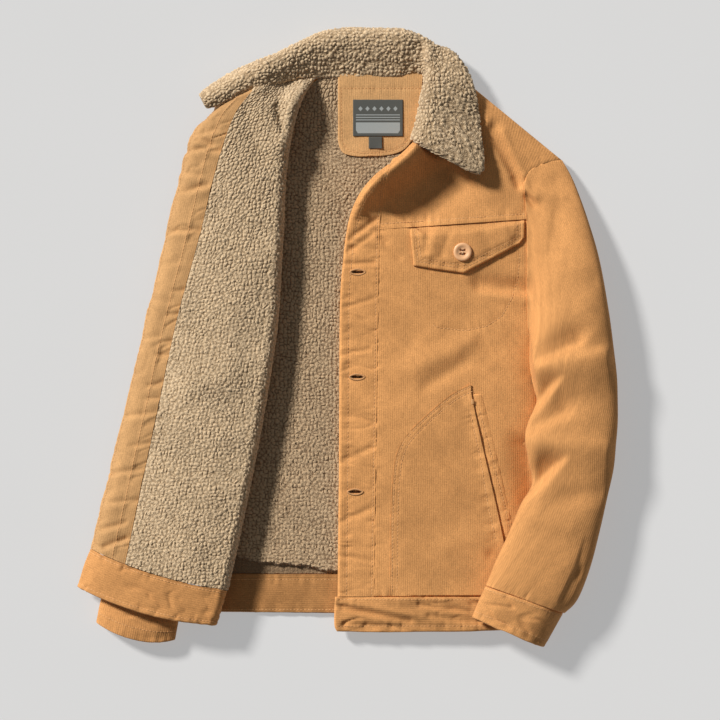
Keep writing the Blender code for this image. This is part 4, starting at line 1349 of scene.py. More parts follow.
LEFT_SLEEVE = (
    Station(217.8, 8, 257.6, 212.2, 1.00, 24, 9, 26, 8, 4, 4),
    Station(218, 0, 266, 198, 0.70, 25, 14, 34, 8, 4, 7),
    Station(218, -7, 274, 180, 0.45, 26, 19, 40, 9, 4, 15),
    Station(218, -13, 287, 143, 0.20, 27, 26, 46, 10, 5, 25),
    Station(218, -20, 301, 94, 0.05, 28, 30, 50, 12, 6, 29),
    Station(218, -28, 312, 33, 0, 29, 32, 52, 12, 8, 31),
    Station(220, -45, 318, -12, 0, 30, 32, 52, 6, 18, 31),
    Station(223, -62, 322, -47, 0, 31, 32, 50, 0, 29.4, 31),
    Station(226, -77, 323, -76, 0, 31, 31, 48, 0, 29.6, 30),
    Station(216, -101, 323, -102, 0, 31, 31, 50, 0, 30.4, 30),
    Station(212, -121, 321, -127, 0, 32, 31, 50, 0, 31, 30),
    Station(216, -146, 318, -158, 0, 32, 30, 48, 0, 31, 29),
    Station(221, -175, 310.5, -192, 0, 32, 29, 47, 0, 31, 28),
    Station(207, -200, 302.5, -228, 0, 33, 28, 50, 0, 32.4, 27),
    Station(191, -237, 292, -270, 0, 34, 26, 52, 0, 32.5, 25),
    Station(177, -267, 281, -302, 0, 34, 23, 52, 0, 32.5, 22),
    Station(171, -282, 272, -319, 0, 34, 21, 51.5, 0, 32.4, 20),
    Station(165, -296.6, 259.5, -331, 0, 34, 20, 50, 0, 32.3, 19),
)
LEFT_CUFF = (
    Ring(164.7, -297.3, 258.5, -330.3, 34, 18, 50.5, 22, 2, 0),
    Ring(156, -316, 247, -351, 34, 18, 49, 22, 2, 0),
    Ring(148, -335, 235, -372, 33, 18, 47, 22, 3, 0),
)
RIGHT_ARMHOLE = ((-190, 188), (-176, 184), (-160, 176), (-143.5, 165))
RIGHT_SLEEVE = (
    Station(-190, 188, -143.5, 165, 1, 9, 9, 19, 0, 8.4, 8.4),
    Station(-194, 130, -148.4, 112, 0, 10, 10, 24, 0, 9.4, 9.4),
    Station(-207, 60, -154, 42, 0, 10, 10, 26, 0, 9.4, 9.4),
    Station(-224, -40, -160, -56, 0, 10, 10, 27, 0, 9.4, 9.4),
    Station(-244, -140, -168, -160, 0, 10, 10, 28, 0, 9.4, 9.4),
    Station(-266, -228, -182, -250, 0, 10, 10, 28, 0, 9.4, 9.4),
    Station(-287, -284, -196, -308, 0, 10, 10, 27, 0, 9.4, 9.4),
)
RIGHT_CUFF = (
    Ring(-289, -285, -196, -308.6, 12, 12, 27, 0, 0, 0),
    Ring(-297, -314, -203, -338, 12, 12, 26, 0, 0, 5),
    Ring(-303, -343, -208, -364, 11, 11, 24, 0, 0, 10),
)
print("stations of the left sleeve:", len(LEFT_SLEEVE), "and of the right one:", len(RIGHT_SLEEVE))

# %% [markdown]
# ## Two pieces of a sleeve
# A sleeve is sewn from a top piece and an under piece. A bent tube could stand for both, but the seam
# between them shows, and the sleeve is flat where it lies. So the top is an arch, and the under piece
# follows what the sleeve lies on: the left front, then the floor. At the armhole the left sleeve's
# head laps over the yoke's edge.

# %% Two pieces of a sleeve
def resting_height(x, y):
    """What the left sleeve lies on: the left front up to its side, then the surface."""
    top = body(x, y) + 1.4 + 3.0 * np.clip((-195 - y) / 30, 0, 1)
    past = np.clip((x - side_x(y) + 4) / 18, 0, 1)
    return top * (1 - past) * np.clip((8 - y) / 16, 0, 1)


def surface(x, y):
    """What the right sleeve lies on: the floor."""
    return np.zeros_like(x)


def sleeve_plan(s, seam, share, tuck):
    """Lines across the sleeve that follow the armhole near it and straighten down the arm."""
    straight = between(np.hstack([s.x_left + tuck, s.y_left]), np.hstack([s.x_right, s.y_right]), share)
    curve = through(seam, 201)
    follow = sample(share, np.linspace(0, 1, 201), curve)
    chord = curve[0] * (1 - share[:, None]) + curve[-1] * share[:, None]
    return straight + s.seam[..., None] * (follow - chord)


def cloth_uv(points):
    """UV of a bent piece: distance across from the middle column, and distance down."""
    left, top = spans(points)
    return np.dstack([left - left[:, left.shape[1] // 2][:, None], top])


def sleeve_piece(name, outer, inner, wear_tone_and_shade):
    """One of a sleeve's two pieces."""
    cloth(name + "_cloth", outer, inner, CORDUROY, cloth_uv(outer), {"wear_tone_and_shade": wear_tone_and_shade})


def sleeve_top(side, stations, seam, folds, cell, count, joins=None):
    """An arch with folds along its height. Where it joins the body, its head laps over the seam."""
    table = read(stations, cell)
    s = named(Station, table)
    share = spaced(count)
    plan = sleeve_plan(s, seam, share, 0.0)
    if joins:
        lap = bell(run_length(table[:, 0:2])[:, None], 4) * (1 - ease((share - 0.58) / 0.08))
        head = bell(run_length(table[:, 2:4])[:, None], 5) * ease((share - 0.62) / 0.08)
        head = head * (1 - 0.5 * ease((share - 0.92) / 0.08))
        plan[..., 0] -= 2.2 * lap + 1.0 * head
        plan[..., 1] += 2.8 * head
    x, y = plan[..., 0], plan[..., 1]
    rim = s.edge_left * (1 - share) + s.edge_right * share
    bow = arch(share, TOP_ARCH)
    held = (0.6 + 0.4 * ease(share / 0.17)) * ease((1 - share) / 0.12)
    level = rim + (s.crown - rim) * bow + ridges(x, y, folds) * held
    level = level + bow * (0.7 * noise(x, y, 48.0, 91) + 0.4 * noise(x, y, 19.0, 93))
    if joins:
        down_to_body = ease((y + 72) / 26) * (1 - ease(share / 0.04))
        level = level + down_to_body * (np.minimum(level, joins(x, y) + 1.2) - level)
        level = level + s.seam * (joins(x, y) + 1.3 + 1.3 * lap - 1.8 * head - level)
    top = np.dstack([plan, level])
    left, down = spans(top)
    draw = creased(left, down * 0.25, 12.0, 95) + 0.4 * noise(left, down * 0.1, 4.0, 97)
    draw = draw * (ease(down / 4) * bell(down, 11) + 0.9 * bell(down[-1:] - down, 10))
    way = normals(top)
    way = way + s.seam[..., None] * (UPRIGHT - way)
    top = top + (1.2 * draw * bow)[..., None] * way
    top, wear_tone_and_shade = rolled(top, 1.5, "tb", way=way)
    sleeve_piece(f"{side}_sleeve_top", top, top - SLEEVE_WALL * way, wear_tone_and_shade - 0.4)


def sleeve_under(side, stations, seam, folds, floor):
    """The flat underside, with edges that come up to the top piece."""
    s = named(Station, read(stations, 4.0))
    share = spaced(33)
    plan = sleeve_plan(s, seam, share, s.tuck)
    rim = s.under_left * (1 - share) + s.under_right * share - 0.6
    rim = rim + 0.6 * ridges(plan[:, :1, 0], plan[:, :1, 1], folds) * (1 - share) ** 6
    ground = floor(plan[..., 0], plan[..., 1])
    level = np.maximum(ground, rim - (rim - ground) * 1.05 * arch(share, UNDER_ARCH))
    under = np.dstack([plan, level])[:, ::-1]
    wear_tone_and_shade = np.zeros(under.shape[:2])
    sleeve_piece(f"{side}_sleeve_under", under, inward(under, SLEEVE_WALL), wear_tone_and_shade)


wrist = float(resting_height(np.array(190.0), np.array(-260.0)))
print("under the left wrist the front is", round(wrist, 1), "mm high")

# %% [markdown]
# ## Cuffs, and both sleeves
# A cuff is a doubled band sewn round the wrist, puckered beside its two rows of stitching. It could
# have a top and an under piece like the sleeve, but it has no seam that shows, so it is one closed
# ring. The right sleeve is mostly hidden and gets a coarser grid and no folds.

# %% Cuffs, and both sleeves
def cuff(side, rings, floor):
    """A band round the wrist: an arch above, a flat underside, closed all round, edges rolled over."""
    table = read(rings, 1.8)
    r = named(Ring, table)
    share = spaced(61)
    over = between(table[:, 0:2], table[:, 2:4], share)
    over[..., 1] -= r.bow * 4 * share * (1 - share)
    rim = r.edge_left * (1 - share) + r.edge_right * share
    low = r.low_left * (1 - share) + r.low_right * share
    low = np.minimum(np.maximum(low, floor(over[..., 0], over[..., 1])), rim - BAND_WALL)
    up = np.dstack([over, rim + (r.crown - rim) * arch(share, CUFF_ARCH)])
    down = np.dstack([over, rim - (rim - low) * np.minimum(1, 1.06 * arch(share, 3.0))])
    outer = np.concatenate([up, down[:, -2:0:-1]], axis=1)
    left, far = spans(outer)
    near = np.minimum(np.abs(far - 3), np.abs(far[-1:] - far - 6))
    wave = creased(left, far * 0.3, 12.0, 101) + 0.5 * noise(left, far * 0.15, 5.0, 103)
    lift = 0.9 * wave * bell(near, 7) - 0.25 * bell(near, 1.3)
    lift = lift + 2.0 * creased(left * 0.45, far, 15.0, 105)
    above = np.concatenate([arch(share, CUFF_ARCH), np.zeros(len(share) - 2)])
    outer = outer + (lift * above)[..., None] * normals(outer, True)
    shaped, wear_tone_and_shade = rolled(outer, 2.0, "tb", True)
    inner = inward(outer, BAND_WALL * 0.75, True)
    marks = {"wear_tone_and_shade": wear_tone_and_shade - 0.6}
    name, uv = f"{side}_cuff_cloth", cloth_uv(outer)
    cloth(name, shaped, inner, CORDUROY, uv, marks, ring=True)
    up_way = normals(shaped, True)
    for distance in (3.0, far[-1, 0] - 6.0):
        row = int(np.argmin(np.abs(far[:, 30] - distance)))
        sew_along("cuff_stitching", shaped[row, 2:59], up_way[row, 2:59])


sleeve_top("left", LEFT_SLEEVE, ARMHOLE, SLEEVE_FOLDS, 1.9, 125, body)
sleeve_under("left", LEFT_SLEEVE, ARMHOLE, SLEEVE_FOLDS, resting_height)
cuff("left", LEFT_CUFF, resting_height)
sleeve_top("right", RIGHT_SLEEVE, RIGHT_ARMHOLE, (), 4.0, 33)
sleeve_under("right", RIGHT_SLEEVE, RIGHT_ARMHOLE, (), surface)
cuff("right", RIGHT_CUFF, surface)

# %% [markdown]
# ## The right front, folded back
# Across, the front runs from its free edge up over the fleece, round the fold and back under to the
# side seam. One function gives its inner face. The fleece, the corduroy facing along the free edge,
# the corduroy shell below and the hem band all take their points from it, moved in by their depth.

# %% The right front, folded back
Folded = namedtuple("Folded", "x_side y_side x_fold y_fold x_edge y_edge facing bow")
RIGHT_FRONT = (
    Folded(-84, 282, -41, 308, -166, 270, 0.60, 9),
    Folded(-100, 262, -55, 284, -184, 255, 0.60, 6),
    Folded(-120, 235, -67, 245, -194, 236, 0.62, 3),
    Folded(-140, 175, -74, 190, -205, 195, 0.66, 0),
    Folded(-148, 100, -78, 110, -222, 122, 0.70, 0),
    Folded(-148, 10, -85, 8, -244, 28, 0.755, 0),
    Folded(-155, -100, -104, -112, -270, -82, 0.755, -2),
    Folded(-164, -205, -126, -222, -294, -180, 0.745, -4),
    Folded(-175, -290, -143.5, -302, -311.5, -252, 0.735, -7),
)
RIGHT_BAND = (
    Folded(-175.2, -290.7, -143.7, -302.7, -311.7, -252.7, 0.735, -7),
    Folded(-178, -312, -149, -324, -320, -276, 0.735, -8),
    Folded(-180, -333, -155.5, -345, -327.5, -298.5, 0.735, -9),
)
PROFILE = through(
    ((0, 36), (0.1, 38.5), (0.3, 42), (0.55, 42), (0.75, 39), (0.9, 32), (0.97, 23), (1, 16)), 300
)
TUCKED = Folded(-82, 288, -39, 314, -162.5, 277, 0.60, 9.5)  # the top goes on under the collar
FOLD_RADIUS = 13.0
FOLD_LOW = 10.0
SIDE_INSET = 14.0
FLEECE_DEEP = 7.0
LINING_FOLDS = (
    Fold(-84, 276, -78, 250, 8, 5, -5.5),
    Fold(-58, 306, -76, 236, 12, 14, 6),
    Fold(-120, 262, -104, 216, 12, 12, -2.5),
    Fold(-150, 150, -110, 120, 16, 16, -2),
    Fold(-176, 20, -120, -10, 18, 18, -2),
    Fold(-190, -60, -140, -40, 18, 18, 1.5),
    Fold(-220, -140, -160, -170, 18, 18, -2),
    Fold(-180, -230, -160, -280, 12, 12, -1.5),
)
# Creases of the facing: y, shares of its width from the free edge, width, height and slant.
Crease = namedtuple("Crease", "y start end width height slant")
FACING_CREASES = (
    Crease(246, 0.1, 0.7, 5, -1.6, 5),
    Crease(234, 0.3, 0.66, 5, -2.6, -8),
    Crease(225, 0.05, 0.6, 4, -1.8, 4),
    Crease(223, 0.68, 1, 3, -1.4, 0),
    Crease(196, 0.1, 0.6, 5, -1.2, -4),
    Crease(178, 0.2, 0.9, 4.5, -1.8, 8),
    Crease(128, 0.15, 0.95, 4, -1.8, 2),
    Crease(90, 0.3, 0.7, 6, -1.0, 5),
    Crease(56, 0.68, 1, 3, -1.2, 1),
    Crease(44, 0.1, 0.6, 6, -1.0, -4),
    Crease(28, 0.68, 1, 3, -1.3, 2),
    Crease(0, 0.1, 0.6, 5, -1.2, 3),
    Crease(-5, 0.68, 1, 3, -1.4, 1),
    Crease(-21, 0.66, 1, 3, -1.2, 0),
    Crease(-56, 0.6, 1, 3, -1.2, 3),
    Crease(-73, 0.68, 1, 3, -1.2, 0),
    Crease(-92, 0.1, 1, 4, -1.4, 4),
    Crease(-128, 0.5, 1, 4, -1.2, 4),
    Crease(-160, 0.1, 0.9, 4, -1.6, 6),
    Crease(-196, 0.3, 1, 4, -1.4, 4),
    Crease(-226, 0.2, 0.8, 4, -2.0, 8),
    Crease(-246, 0.35, 0.9, 4, -2.6, 10),
)
print("creases placed by hand on the facing:", len(FACING_CREASES))

# %% [markdown]
# ## Round the fold
# Thick cloth has no sharp crease where it is folded: it turns in a wide bend. Each piece could be
# bent on its own, but the fleece, the outside and the band have to turn together. So one function
# gives the layer on top, another gives the turn and the hidden layer, and every piece reads them. By
# the fold, the top end sinks under the collar that holds it.

# %% Round the fold
def front_face(table, share):
    """The layer that lies on top: out from the fold to the free edge, at the profile's height."""
    fold, free = table[:, 2:4], table[:, 4:6]
    plan = fold[:, None] + (free - fold)[:, None] * share[..., None]
    plan[..., 1] += table[:, 7:8] * 4 * share * (1 - share)
    return np.dstack([plan, np.interp(share, *PROFILE.T)])


def turn_share(table):
    """The share of the top layer's width that the turn round the fold takes up."""
    return (FOLD_RADIUS / np.linalg.norm(table[:, 4:6] - table[:, 2:4], axis=1))[:, None]


def front_turn(table, count, tail):
    """Half an ellipse round the fold, from the top layer down to the hidden one, and that layer."""
    side, fold, free = table[:, 0:2], table[:, 2:4], table[:, 4:6]
    long_low = np.linalg.norm(side - fold, axis=1)[:, None]
    way_up = (free - fold) / np.linalg.norm(free - fold, axis=1)[:, None]
    way_low = (side - fold) / long_low
    turn = np.linspace(pi / 2, -pi / 2, count)
    lean = ((np.sin(turn) + 1) / 2)[None, :, None]
    way = way_up[:, None] * lean + way_low[:, None] * (1 - lean)
    plan = fold[:, None] + way * FOLD_RADIUS * (1 - np.cos(turn))[None, :, None]
    share = turn_share(table)
    plan[..., 1] += table[:, 7:8] * 4 * share * (1 - share) * lean[..., 0]
    high = np.interp(share, *PROFILE.T)
    bend = np.dstack([plan, (high + FOLD_LOW) / 2 + (high - FOLD_LOW) / 2 * np.sin(turn)[None]])
    reach = FOLD_RADIUS + (long_low - SIDE_INSET - FOLD_RADIUS) * np.linspace(0, 1, tail + 1)[None, 1:]
    plan = fold[:, None] + way_low[:, None] * reach[..., None]
    return np.concatenate([bend, np.dstack([plan, np.full(plan.shape[:2], FOLD_LOW)])], axis=1)


def held_down(face):
    """By the fold, the top end sinks under the collar that holds it: its height shrinks to a quarter."""
    x, y, z = face[..., 0], face[..., 1], face[..., 2]
    below = np.maximum(0, np.interp(x, (-112, -39), (297, 314)) - y)
    sink = 0.75 * ease((x + 112) / 52) * bell(below, 16)
    return np.dstack([x, y, z - sink * np.maximum(0, z - FOLD_LOW)])


def dropped_end(face):
    """The face with its top end turned down under the collar."""
    face[..., 2] -= 5 * bell(spans(face)[1], 5)
    return face


def turned(table, share, turn, tail):
    """The face from a share of its width over to the fold, round it and under."""
    across = np.concatenate([front_face(table, share)[:, :-1], front_turn(table, turn, tail)], axis=1)
    return whole_steps(across)


def folded_cloth(name, outer, inner, material, uv, marks):
    """A piece of the right front, made as cloth in its folded shape."""
    cloth(name + "_cloth", outer, inner, material, uv, marks)


print("the front turns round its fold with a radius of", FOLD_RADIUS, "mm")

# %% [markdown]
# ## Lining of the right front
# The fleece starts at the facing, lies over the front, turns round the fold and goes under. It has
# dents where its face looks up, because the pile gives way to what lies below. Its pile is low on the
# hidden side, so that it doesn't reach into the layer under it.

# %% Lining of the right front
table = read((TUCKED,) + RIGHT_FRONT, 1.2)
first = table[:, 6:7] - 0.006
share = first + (turn_share(table) - first) * np.linspace(0, 1, 98)[None]
face = dropped_end(held_down(turned(table, share, 33, 3)))
x, y = face[..., 0], face[..., 1]
facing_up = np.clip(normals(face)[..., 2], 0, 1)
dents = ridges(x, y, LINING_FOLDS) + 0.9 * noise(x, y, 45.0, 111) + 0.5 * noise(x, y, 20.0, 113)
face = face + (dents * facing_up)[..., None] * normals(face)
lining_uv = np.dstack(spans(face))
fade = np.where(normals(face)[..., 2] > -0.3, 1.0, 0.3)
pile_top, curl = piled(face, 301, fade, uv=lining_uv)
under = inward(face, FLEECE_DEEP - 0.5)
folded_cloth("right_lining", pile_top, under, FLEECE, lining_uv, {"curl": curl})

# %% [markdown]
# ## Facing of the right front
# The facing is a strip of corduroy along the free edge, sewn twice. A bump could show its creases,
# but in low light their shadows count, so they are in the mesh, at measured places. Between the edge
# and the inner row the strip puffs, and beyond that row the fleece draws it in.

# %% Facing of the right front
FACING_WIDE = 45.0
ROW_SPAN = 44.0  # turns a share of the width into a distance from a row of stitching
EDGE_ROW, INNER_ROW = 0.08, 0.66  # shares of the width at which it is sewn


def facing_creases(table, face):
    """Each crease and the swell below it as folds, between shares of the facing's width at its height."""
    folds = []
    for c in FACING_CREASES:
        free = np.interp(-c.y, -table[:, 5], table[:, 4])
        inner = np.interp(-c.y, -face[:, -1, 1], face[:, -1, 0])
        start, end = (free + (inner - free) * share for share in (c.start, c.end))
        low, high = c.y - c.slant / 2, c.y + c.slant / 2
        folds.append(Fold(start, low, end, high, c.width, c.width * 0.6, 1.3 * c.height))
        folds.append(Fold(start, low - 6, end, high - 6, c.width, c.width * 1.4, -0.6 * c.height))
    return folds


table = read((TUCKED,) + RIGHT_FRONT, 1.5)
across = shares(FACING_WIDE, 1.4)
face = dropped_end(front_face(table, 1 + (table[:, 6:7] - 1) * across[None]))
x, y = face[..., 0], face[..., 1]
t, down = across[None], spans(face)[1]
drawn_in = ease((t - INNER_ROW) * 8)
dent = ridges(x, y, facing_creases(table, face)) + 0.6 * bell((t - INNER_ROW) * ROW_SPAN, 2.0)
dent = dent + 0.9 * creased(down, t * 10, 10.0, 121) * bell((t - EDGE_ROW) * ROW_SPAN, 5)
dent = dent + 1.7 * creased(down, t * 10, 14.0, 123) * drawn_in
dent = dent + 0.9 * creased(x, y, 26.0, 127) * (1 - drawn_in)
dent = dent + 0.8 * noise(x, y, 30.0, 125) + 0.9 * np.sin(pi * np.clip(t / INNER_ROW, 0, 1))
face, wear_tone_and_shade = rolled(inward(face, 2.0 - dent[..., None]), 1.6, "l")
marks = {"wear_tone_and_shade": wear_tone_and_shade - 1.3}
uv = np.dstack([np.broadcast_to(t * FACING_WIDE, down.shape), down])
folded_cloth("right_facing", face, inward(face, 4.5), FACINGS, uv, marks)
up = normals(face)
for place in (EDGE_ROW, INNER_ROW):
    column = int(np.argmin(np.abs(across - place)))
    sew_along("right_stitching", face[:, column], up[:, column])

# %% [markdown]
# ## Outside and hem band of the right front
# The outside of this front is the same corduroy as the other's, and lies underneath. It could be left
# out, but it shows along the edges and from the sides. It is the lining's face moved in by the
# fleece's depth. The hem band runs from the free edge round the fold, with puckers along its two
# seams.

# %% Outside and hem band of the right front
table = read(RIGHT_FRONT, 6.0)
share = np.repeat(np.linspace(1, 0.12, 36)[None], len(table), axis=0)
face = np.concatenate([front_face(table, share), front_turn(table, 11, 2)], axis=1)
face = whole_steps(held_down(face))
outer, inner = (inward(face, FLEECE_DEEP + LAY + wall) for wall in (0.0, 2.0))
marks, uv = {"wear_tone_and_shade": np.zeros(face.shape[:2])}, np.dstack(spans(face))
folded_cloth("right_front", outer, inner, CORDUROY, uv, marks)

table = read(RIGHT_BAND, 1.5)
face = turned(table, 1 + (turn_share(table) - 1) * shares(170.0, 1.6)[None], 25, 2)
left, down = spans(face)
near = np.minimum(np.abs(down - 2.8), np.abs(down[-1:] - down - 5))
wave = creased(left, down * 0.3, 14.0, 131) + 0.5 * noise(left, down * 0.1, 5.0, 133)
dent = 0.9 * wave * bell(near, 7) - 0.3 * bell(near, 1.4)
dent = dent + 0.8 * noise(left, down, 30.0, 135) + 1.3 * creased(left * 0.5, down, 16.0, 137)
face, wear_tone_and_shade = rolled(inward(face, 1.0 - dent[..., None]), 3.0, "lb")
marks, uv = {"wear_tone_and_shade": wear_tone_and_shade - 0.6}, np.dstack([down, left])
back = inward(face, BAND_WALL)
folded_cloth("right_hem_band", face, back, CORDUROY, uv, marks)
up = normals(face)
last = int(face.shape[1] * 0.9)
for distance in (2.8, down[-1, 0] - 5):
    row = int(np.argmin(np.abs(down[:, 0] - distance)))
    sew_along("right_stitching", face[row, 3:last], up[row, 3:last])

# %% [markdown]
# ## Collar
# The collar lies open on the right, lies back behind the neck and is turned down on the left. Its
# section is a curve that passes from one leaf shape to the next, closed into a loop with round edges,
# so that the pile runs over its free edge.

# %% Collar
Neck = namedtuple("Neck", "x y z heading left back right lift")
COLLAR_WALL = 8.0
LEAF_TURNED = ((0, 0), (-5, 8), (-6, 17), (-2, 25), (7, 30), (19, 31), (38, 28), (58, 25), (75, 22))
LEAF_BACK = ((0, 0), (14, 5.5), (28, 11), (41, 14), (51, 12), (57, 5), (56, -3), (49, -7.5), (38, -9))
LEAF_OPEN = ((0, 0), (4, 2.5), (9, 4.5), (15, 4.5), (21, 2), (25, -3), (28, -9), (30, -15), (31, -21))
COLLAR = (
    Neck(-171, 274, 34, 116, 0, 0, 0.68, 0),
    Neck(-150, 281, 36, 116, 0, 0, 0.9, 0),
    Neck(-126, 292, 37, 116, 0, 0, 1, 0),
    Neck(-97, 302, 35, 114, 0, 0.1, 0.95, 0),
    Neck(-70, 309.5, 25, 110, 0, 0.35, 0.6, 0),
    Neck(-43, 313.5, 15, 102, 0, 0.7, 0.25, 0),
    Neck(-12, 314.5, 11.5, 93, 0, 1, 0, 0),
    Neck(35, 315, 12.5, 90, 0, 1, 0, 0),
    Neck(60, 315.5, 13.5, 82, 0.05, 0.95, 0, 0),
    Neck(78, 317, 11.5, 66, 0.2, 0.68, 0, 2),
    Neck(90, 314, 14, 36, 0.5, 0.2, 0, 0),
    Neck(91, 292, 19.5, 12, 0.78, 0, 0, -9.5),
    Neck(87, 262, 21.5, -6, 0.94, 0, 0, -14),
    Neck(80, 232, 21, -27, 1.2, 0, 0, -5),
)
# Where the turned leaf starts, its fold stands up beside a valley.
COLLAR_FOLDS = (
    Fold(88, 347, 83, 312, 5, 16, -6),
    Fold(96, 345, 92, 312, 9, 6, 2),
)
CORNER = 9.0  # radius of the collar's corners, seen from above
LEAF_LONG = 95.0
LEAF_REACH = 50.0  # about how far the free edge lies from the neck
LEAF_HIGHEST = 1.05  # a leaf that is drawn out further than this gets no higher
EDGE_POINTS = 7


def collar_face(cell, count):
    """The collar's face: three leaf curves mixed along the neck, shorter where the corners are round."""
    dense = through(COLLAR, 900)
    heading = np.radians(dense[:, 3])
    run = run_length(dense[:, 0:2] + LEAF_REACH * np.stack([np.cos(heading), np.sin(heading)], axis=1))
    want = np.linspace(0, run[-1], int(run[-1] / cell))
    n = named(Neck, sample(want, run, dense))
    ends = np.minimum(want, run[-1] - want)
    keep = 1 - CORNER * quarter(1 - ends / CORNER) / LEAF_LONG
    place = keep[:, None] * np.linspace(0, 1, count)[None]
    out, up = np.zeros(place.shape), np.zeros(place.shape)
    for amount, leaf in ((n.left, LEAF_TURNED), (n.back, LEAF_BACK), (n.right, LEAF_OPEN)):
        line = through(leaf, 300)
        out = out + amount * np.interp(place, np.linspace(0, 1, 300), line[:, 0])
        up = up + np.minimum(amount, LEAF_HIGHEST) * np.interp(place, np.linspace(0, 1, 300), line[:, 1])
    up = up + n.lift * place**2
    way = np.radians(n.heading)
    return np.dstack([n.x + out * np.cos(way), n.y + out * np.sin(way), n.z + up]), ends


def closed_loops(outer, inner):
    """Sections closed into loops: out along the face, round the free edge, back under, round again."""
    middle, half = (outer + inner) / 2, (outer - inner) / 2
    angle = np.linspace(0, pi, EDGE_POINTS + 2)[None, 1:-1, None]
    bends = []
    for at, before, side in ((-1, -3, 1), (0, 2, -1)):
        out = outer[:, at] - outer[:, before]
        out = out / np.linalg.norm(out, axis=1, keepdims=True)
        out = out * np.linalg.norm(half[:, at], axis=1, keepdims=True)
        lift = side * half[:, at]
        bends.append(middle[:, at, None] + np.cos(angle) * lift[:, None] + np.sin(angle) * out[:, None])
    return np.concatenate([outer, bends[0], inner[:, ::-4], bends[1]], axis=1)


def tube(name, loops, material, uv, marks):
    """A closed tube of loops with a cap at each end."""
    rows, columns = loops.shape[:2]
    grid = np.arange(rows * columns).reshape(rows, columns)
    faces = quads(np.hstack([grid, grid[:, :1]])).tolist() + [grid[0].tolist(), grid[-1][::-1].tolist()]
    marks = {key: m.ravel() for key, m in marks.items()}
    return mesh_piece(name, loops.reshape(-1, 3), faces, material, uv.reshape(-1, 2), marks)


print("the collar's table has", len(COLLAR), "places along the neck")

# %% [markdown]
# ## Making the collar
# A sherpa collar is a thick roll of pile with no rim to be seen, so a wall with two sides would show
# a false edge. Here the face gets its folds and is closed into loops, and the pile covers them all.
# It is low on the hidden side, and at both ends the wall thins out.

# %% Making the collar
outer, ends = collar_face(1.3, 97)
up = normals(outer)
turn = ridges(outer[..., 0], outer[..., 1], COLLAR_FOLDS) * np.clip(up[..., 2], 0, 1)
turn = turn * ease((np.linspace(0, 1, outer.shape[1]) - 0.1) / 0.35)
outer = outer + turn[..., None] * up
inner = inward(outer, COLLAR_WALL)
middle = closed_loops(outer - 0.45 * (outer - inner), inner + 0.45 * (outer - inner))
thick = np.maximum(0.1, 1 - quarter(1 - ends / COLLAR_WALL))[:, None, None]
loops = middle + thick * (closed_loops(outer, inner) - middle)
collar_uv = np.dstack(spans(loops))
amount = np.full(loops.shape[:2], 1.2)
amount[:, outer.shape[1] + 9 :] = 0.4
loops_piled, curl = piled(loops, 401, amount, ring=True)
collar = tube("collar_cloth", loops_piled, FLEECE, collar_uv, {"curl": curl})
declare(collar, ("collar",))

# %% [markdown]
# ## Turning and cutting
# A button is turned on a lathe, and a buttonhole is cut with a blade. A texture could stand for the
# holes, but real ones show the dark below. So a profile is turned into a mesh, and holes are cut with
# upright prisms by an exact Boolean modifier.

# %% Turning and cutting
HOLE_OFF = 2.3
HOLE_RADIUS = 1.35
FLAP_BUTTON = (137.5, 102.5)
BUTTONHOLES = ((11.6, 78.6), (10.8, -47.4), (8.6, -185.4))
SLIT_LONG = 15.0
SLIT_HALF = 1.4
RIM_LONG, RIM_WIDE, RIM_THICK = 9.0, 3.4, 0.8  # half axes of a buttonhole's thread edge, and its radius
RIM_STEPS, RIM_SIDES = 180, 8
BUTTON_PROFILE = (
    (0, 1.9), (3.5, 1.9), (5.4, 2.1), (6.6, 2.7), (8.2, 3.3), (9.8, 3.2),
    (10.8, 2.5), (11.2, 1.6), (10.9, 0.7), (9.8, 0.1), (6, 0), (0, 0),
)


def lathe(profile, segments, centre):
    """A profile of radius and height turned about an upright axis; closed at both poles."""
    turn = np.linspace(0, 2 * pi, segments, endpoint=False)
    r, z = np.array(profile[1:-1], float).T
    ring = np.dstack([np.outer(r, np.cos(turn)), np.outer(r, np.sin(turn)), np.outer(z, np.ones(segments))])
    n = len(r) * segments
    grid = np.arange(n).reshape(len(r), segments)
    grid = np.hstack([grid, grid[:, :1]])
    faces = quads(grid).tolist()
    faces += [(n, int(grid[0, k]), int(grid[0, k + 1])) for k in range(segments)]
    faces += [(n + 1, int(grid[-1, k + 1]), int(grid[-1, k])) for k in range(segments)]
    points = np.vstack([ring.reshape(-1, 3), [(0, 0, profile[0][1])], [(0, 0, profile[-1][1])]])
    return points + np.array(centre), faces


def drill(part, outlines, low, high):
    """Cuts upright holes with the given outlines through a part, and keeps the result as its mesh."""
    points, faces = prisms(outlines, low, high)
    mesh = bpy.data.meshes.new("cutter")
    mesh.from_pydata((points * MM).tolist(), [], faces)
    cutter = add("cutter", mesh)
    change = part.modifiers.new("holes", "BOOLEAN")
    change.object = cutter
    change.solver = "EXACT"
    seen = part.evaluated_get(bpy.context.evaluated_depsgraph_get())
    made = bpy.data.meshes.new_from_object(seen)
    part.modifiers.clear()
    old = part.data
    part.data = made
    bpy.data.meshes.remove(old)
    bpy.data.objects.remove(cutter)


def circle(x, y, radius, count):
    """A round outline."""
    turn = np.linspace(0, 2 * pi, count, endpoint=False)
    return list(zip(x + radius * np.cos(turn), y + radius * np.sin(turn)))


def slit(x, y, long, half, count=8):
    """A long round-ended outline."""
    turn = np.linspace(-pi / 2, pi / 2, count)
    right = [(x + long / 2 - half + half * np.cos(t), y + half * np.sin(t)) for t in turn]
    left = [(x - long / 2 + half - half * np.cos(t), y - half * np.sin(t)) for t in turn]
    return right + left


print("the button measures", 2 * max(BUTTON_PROFILE)[0], "mm across")

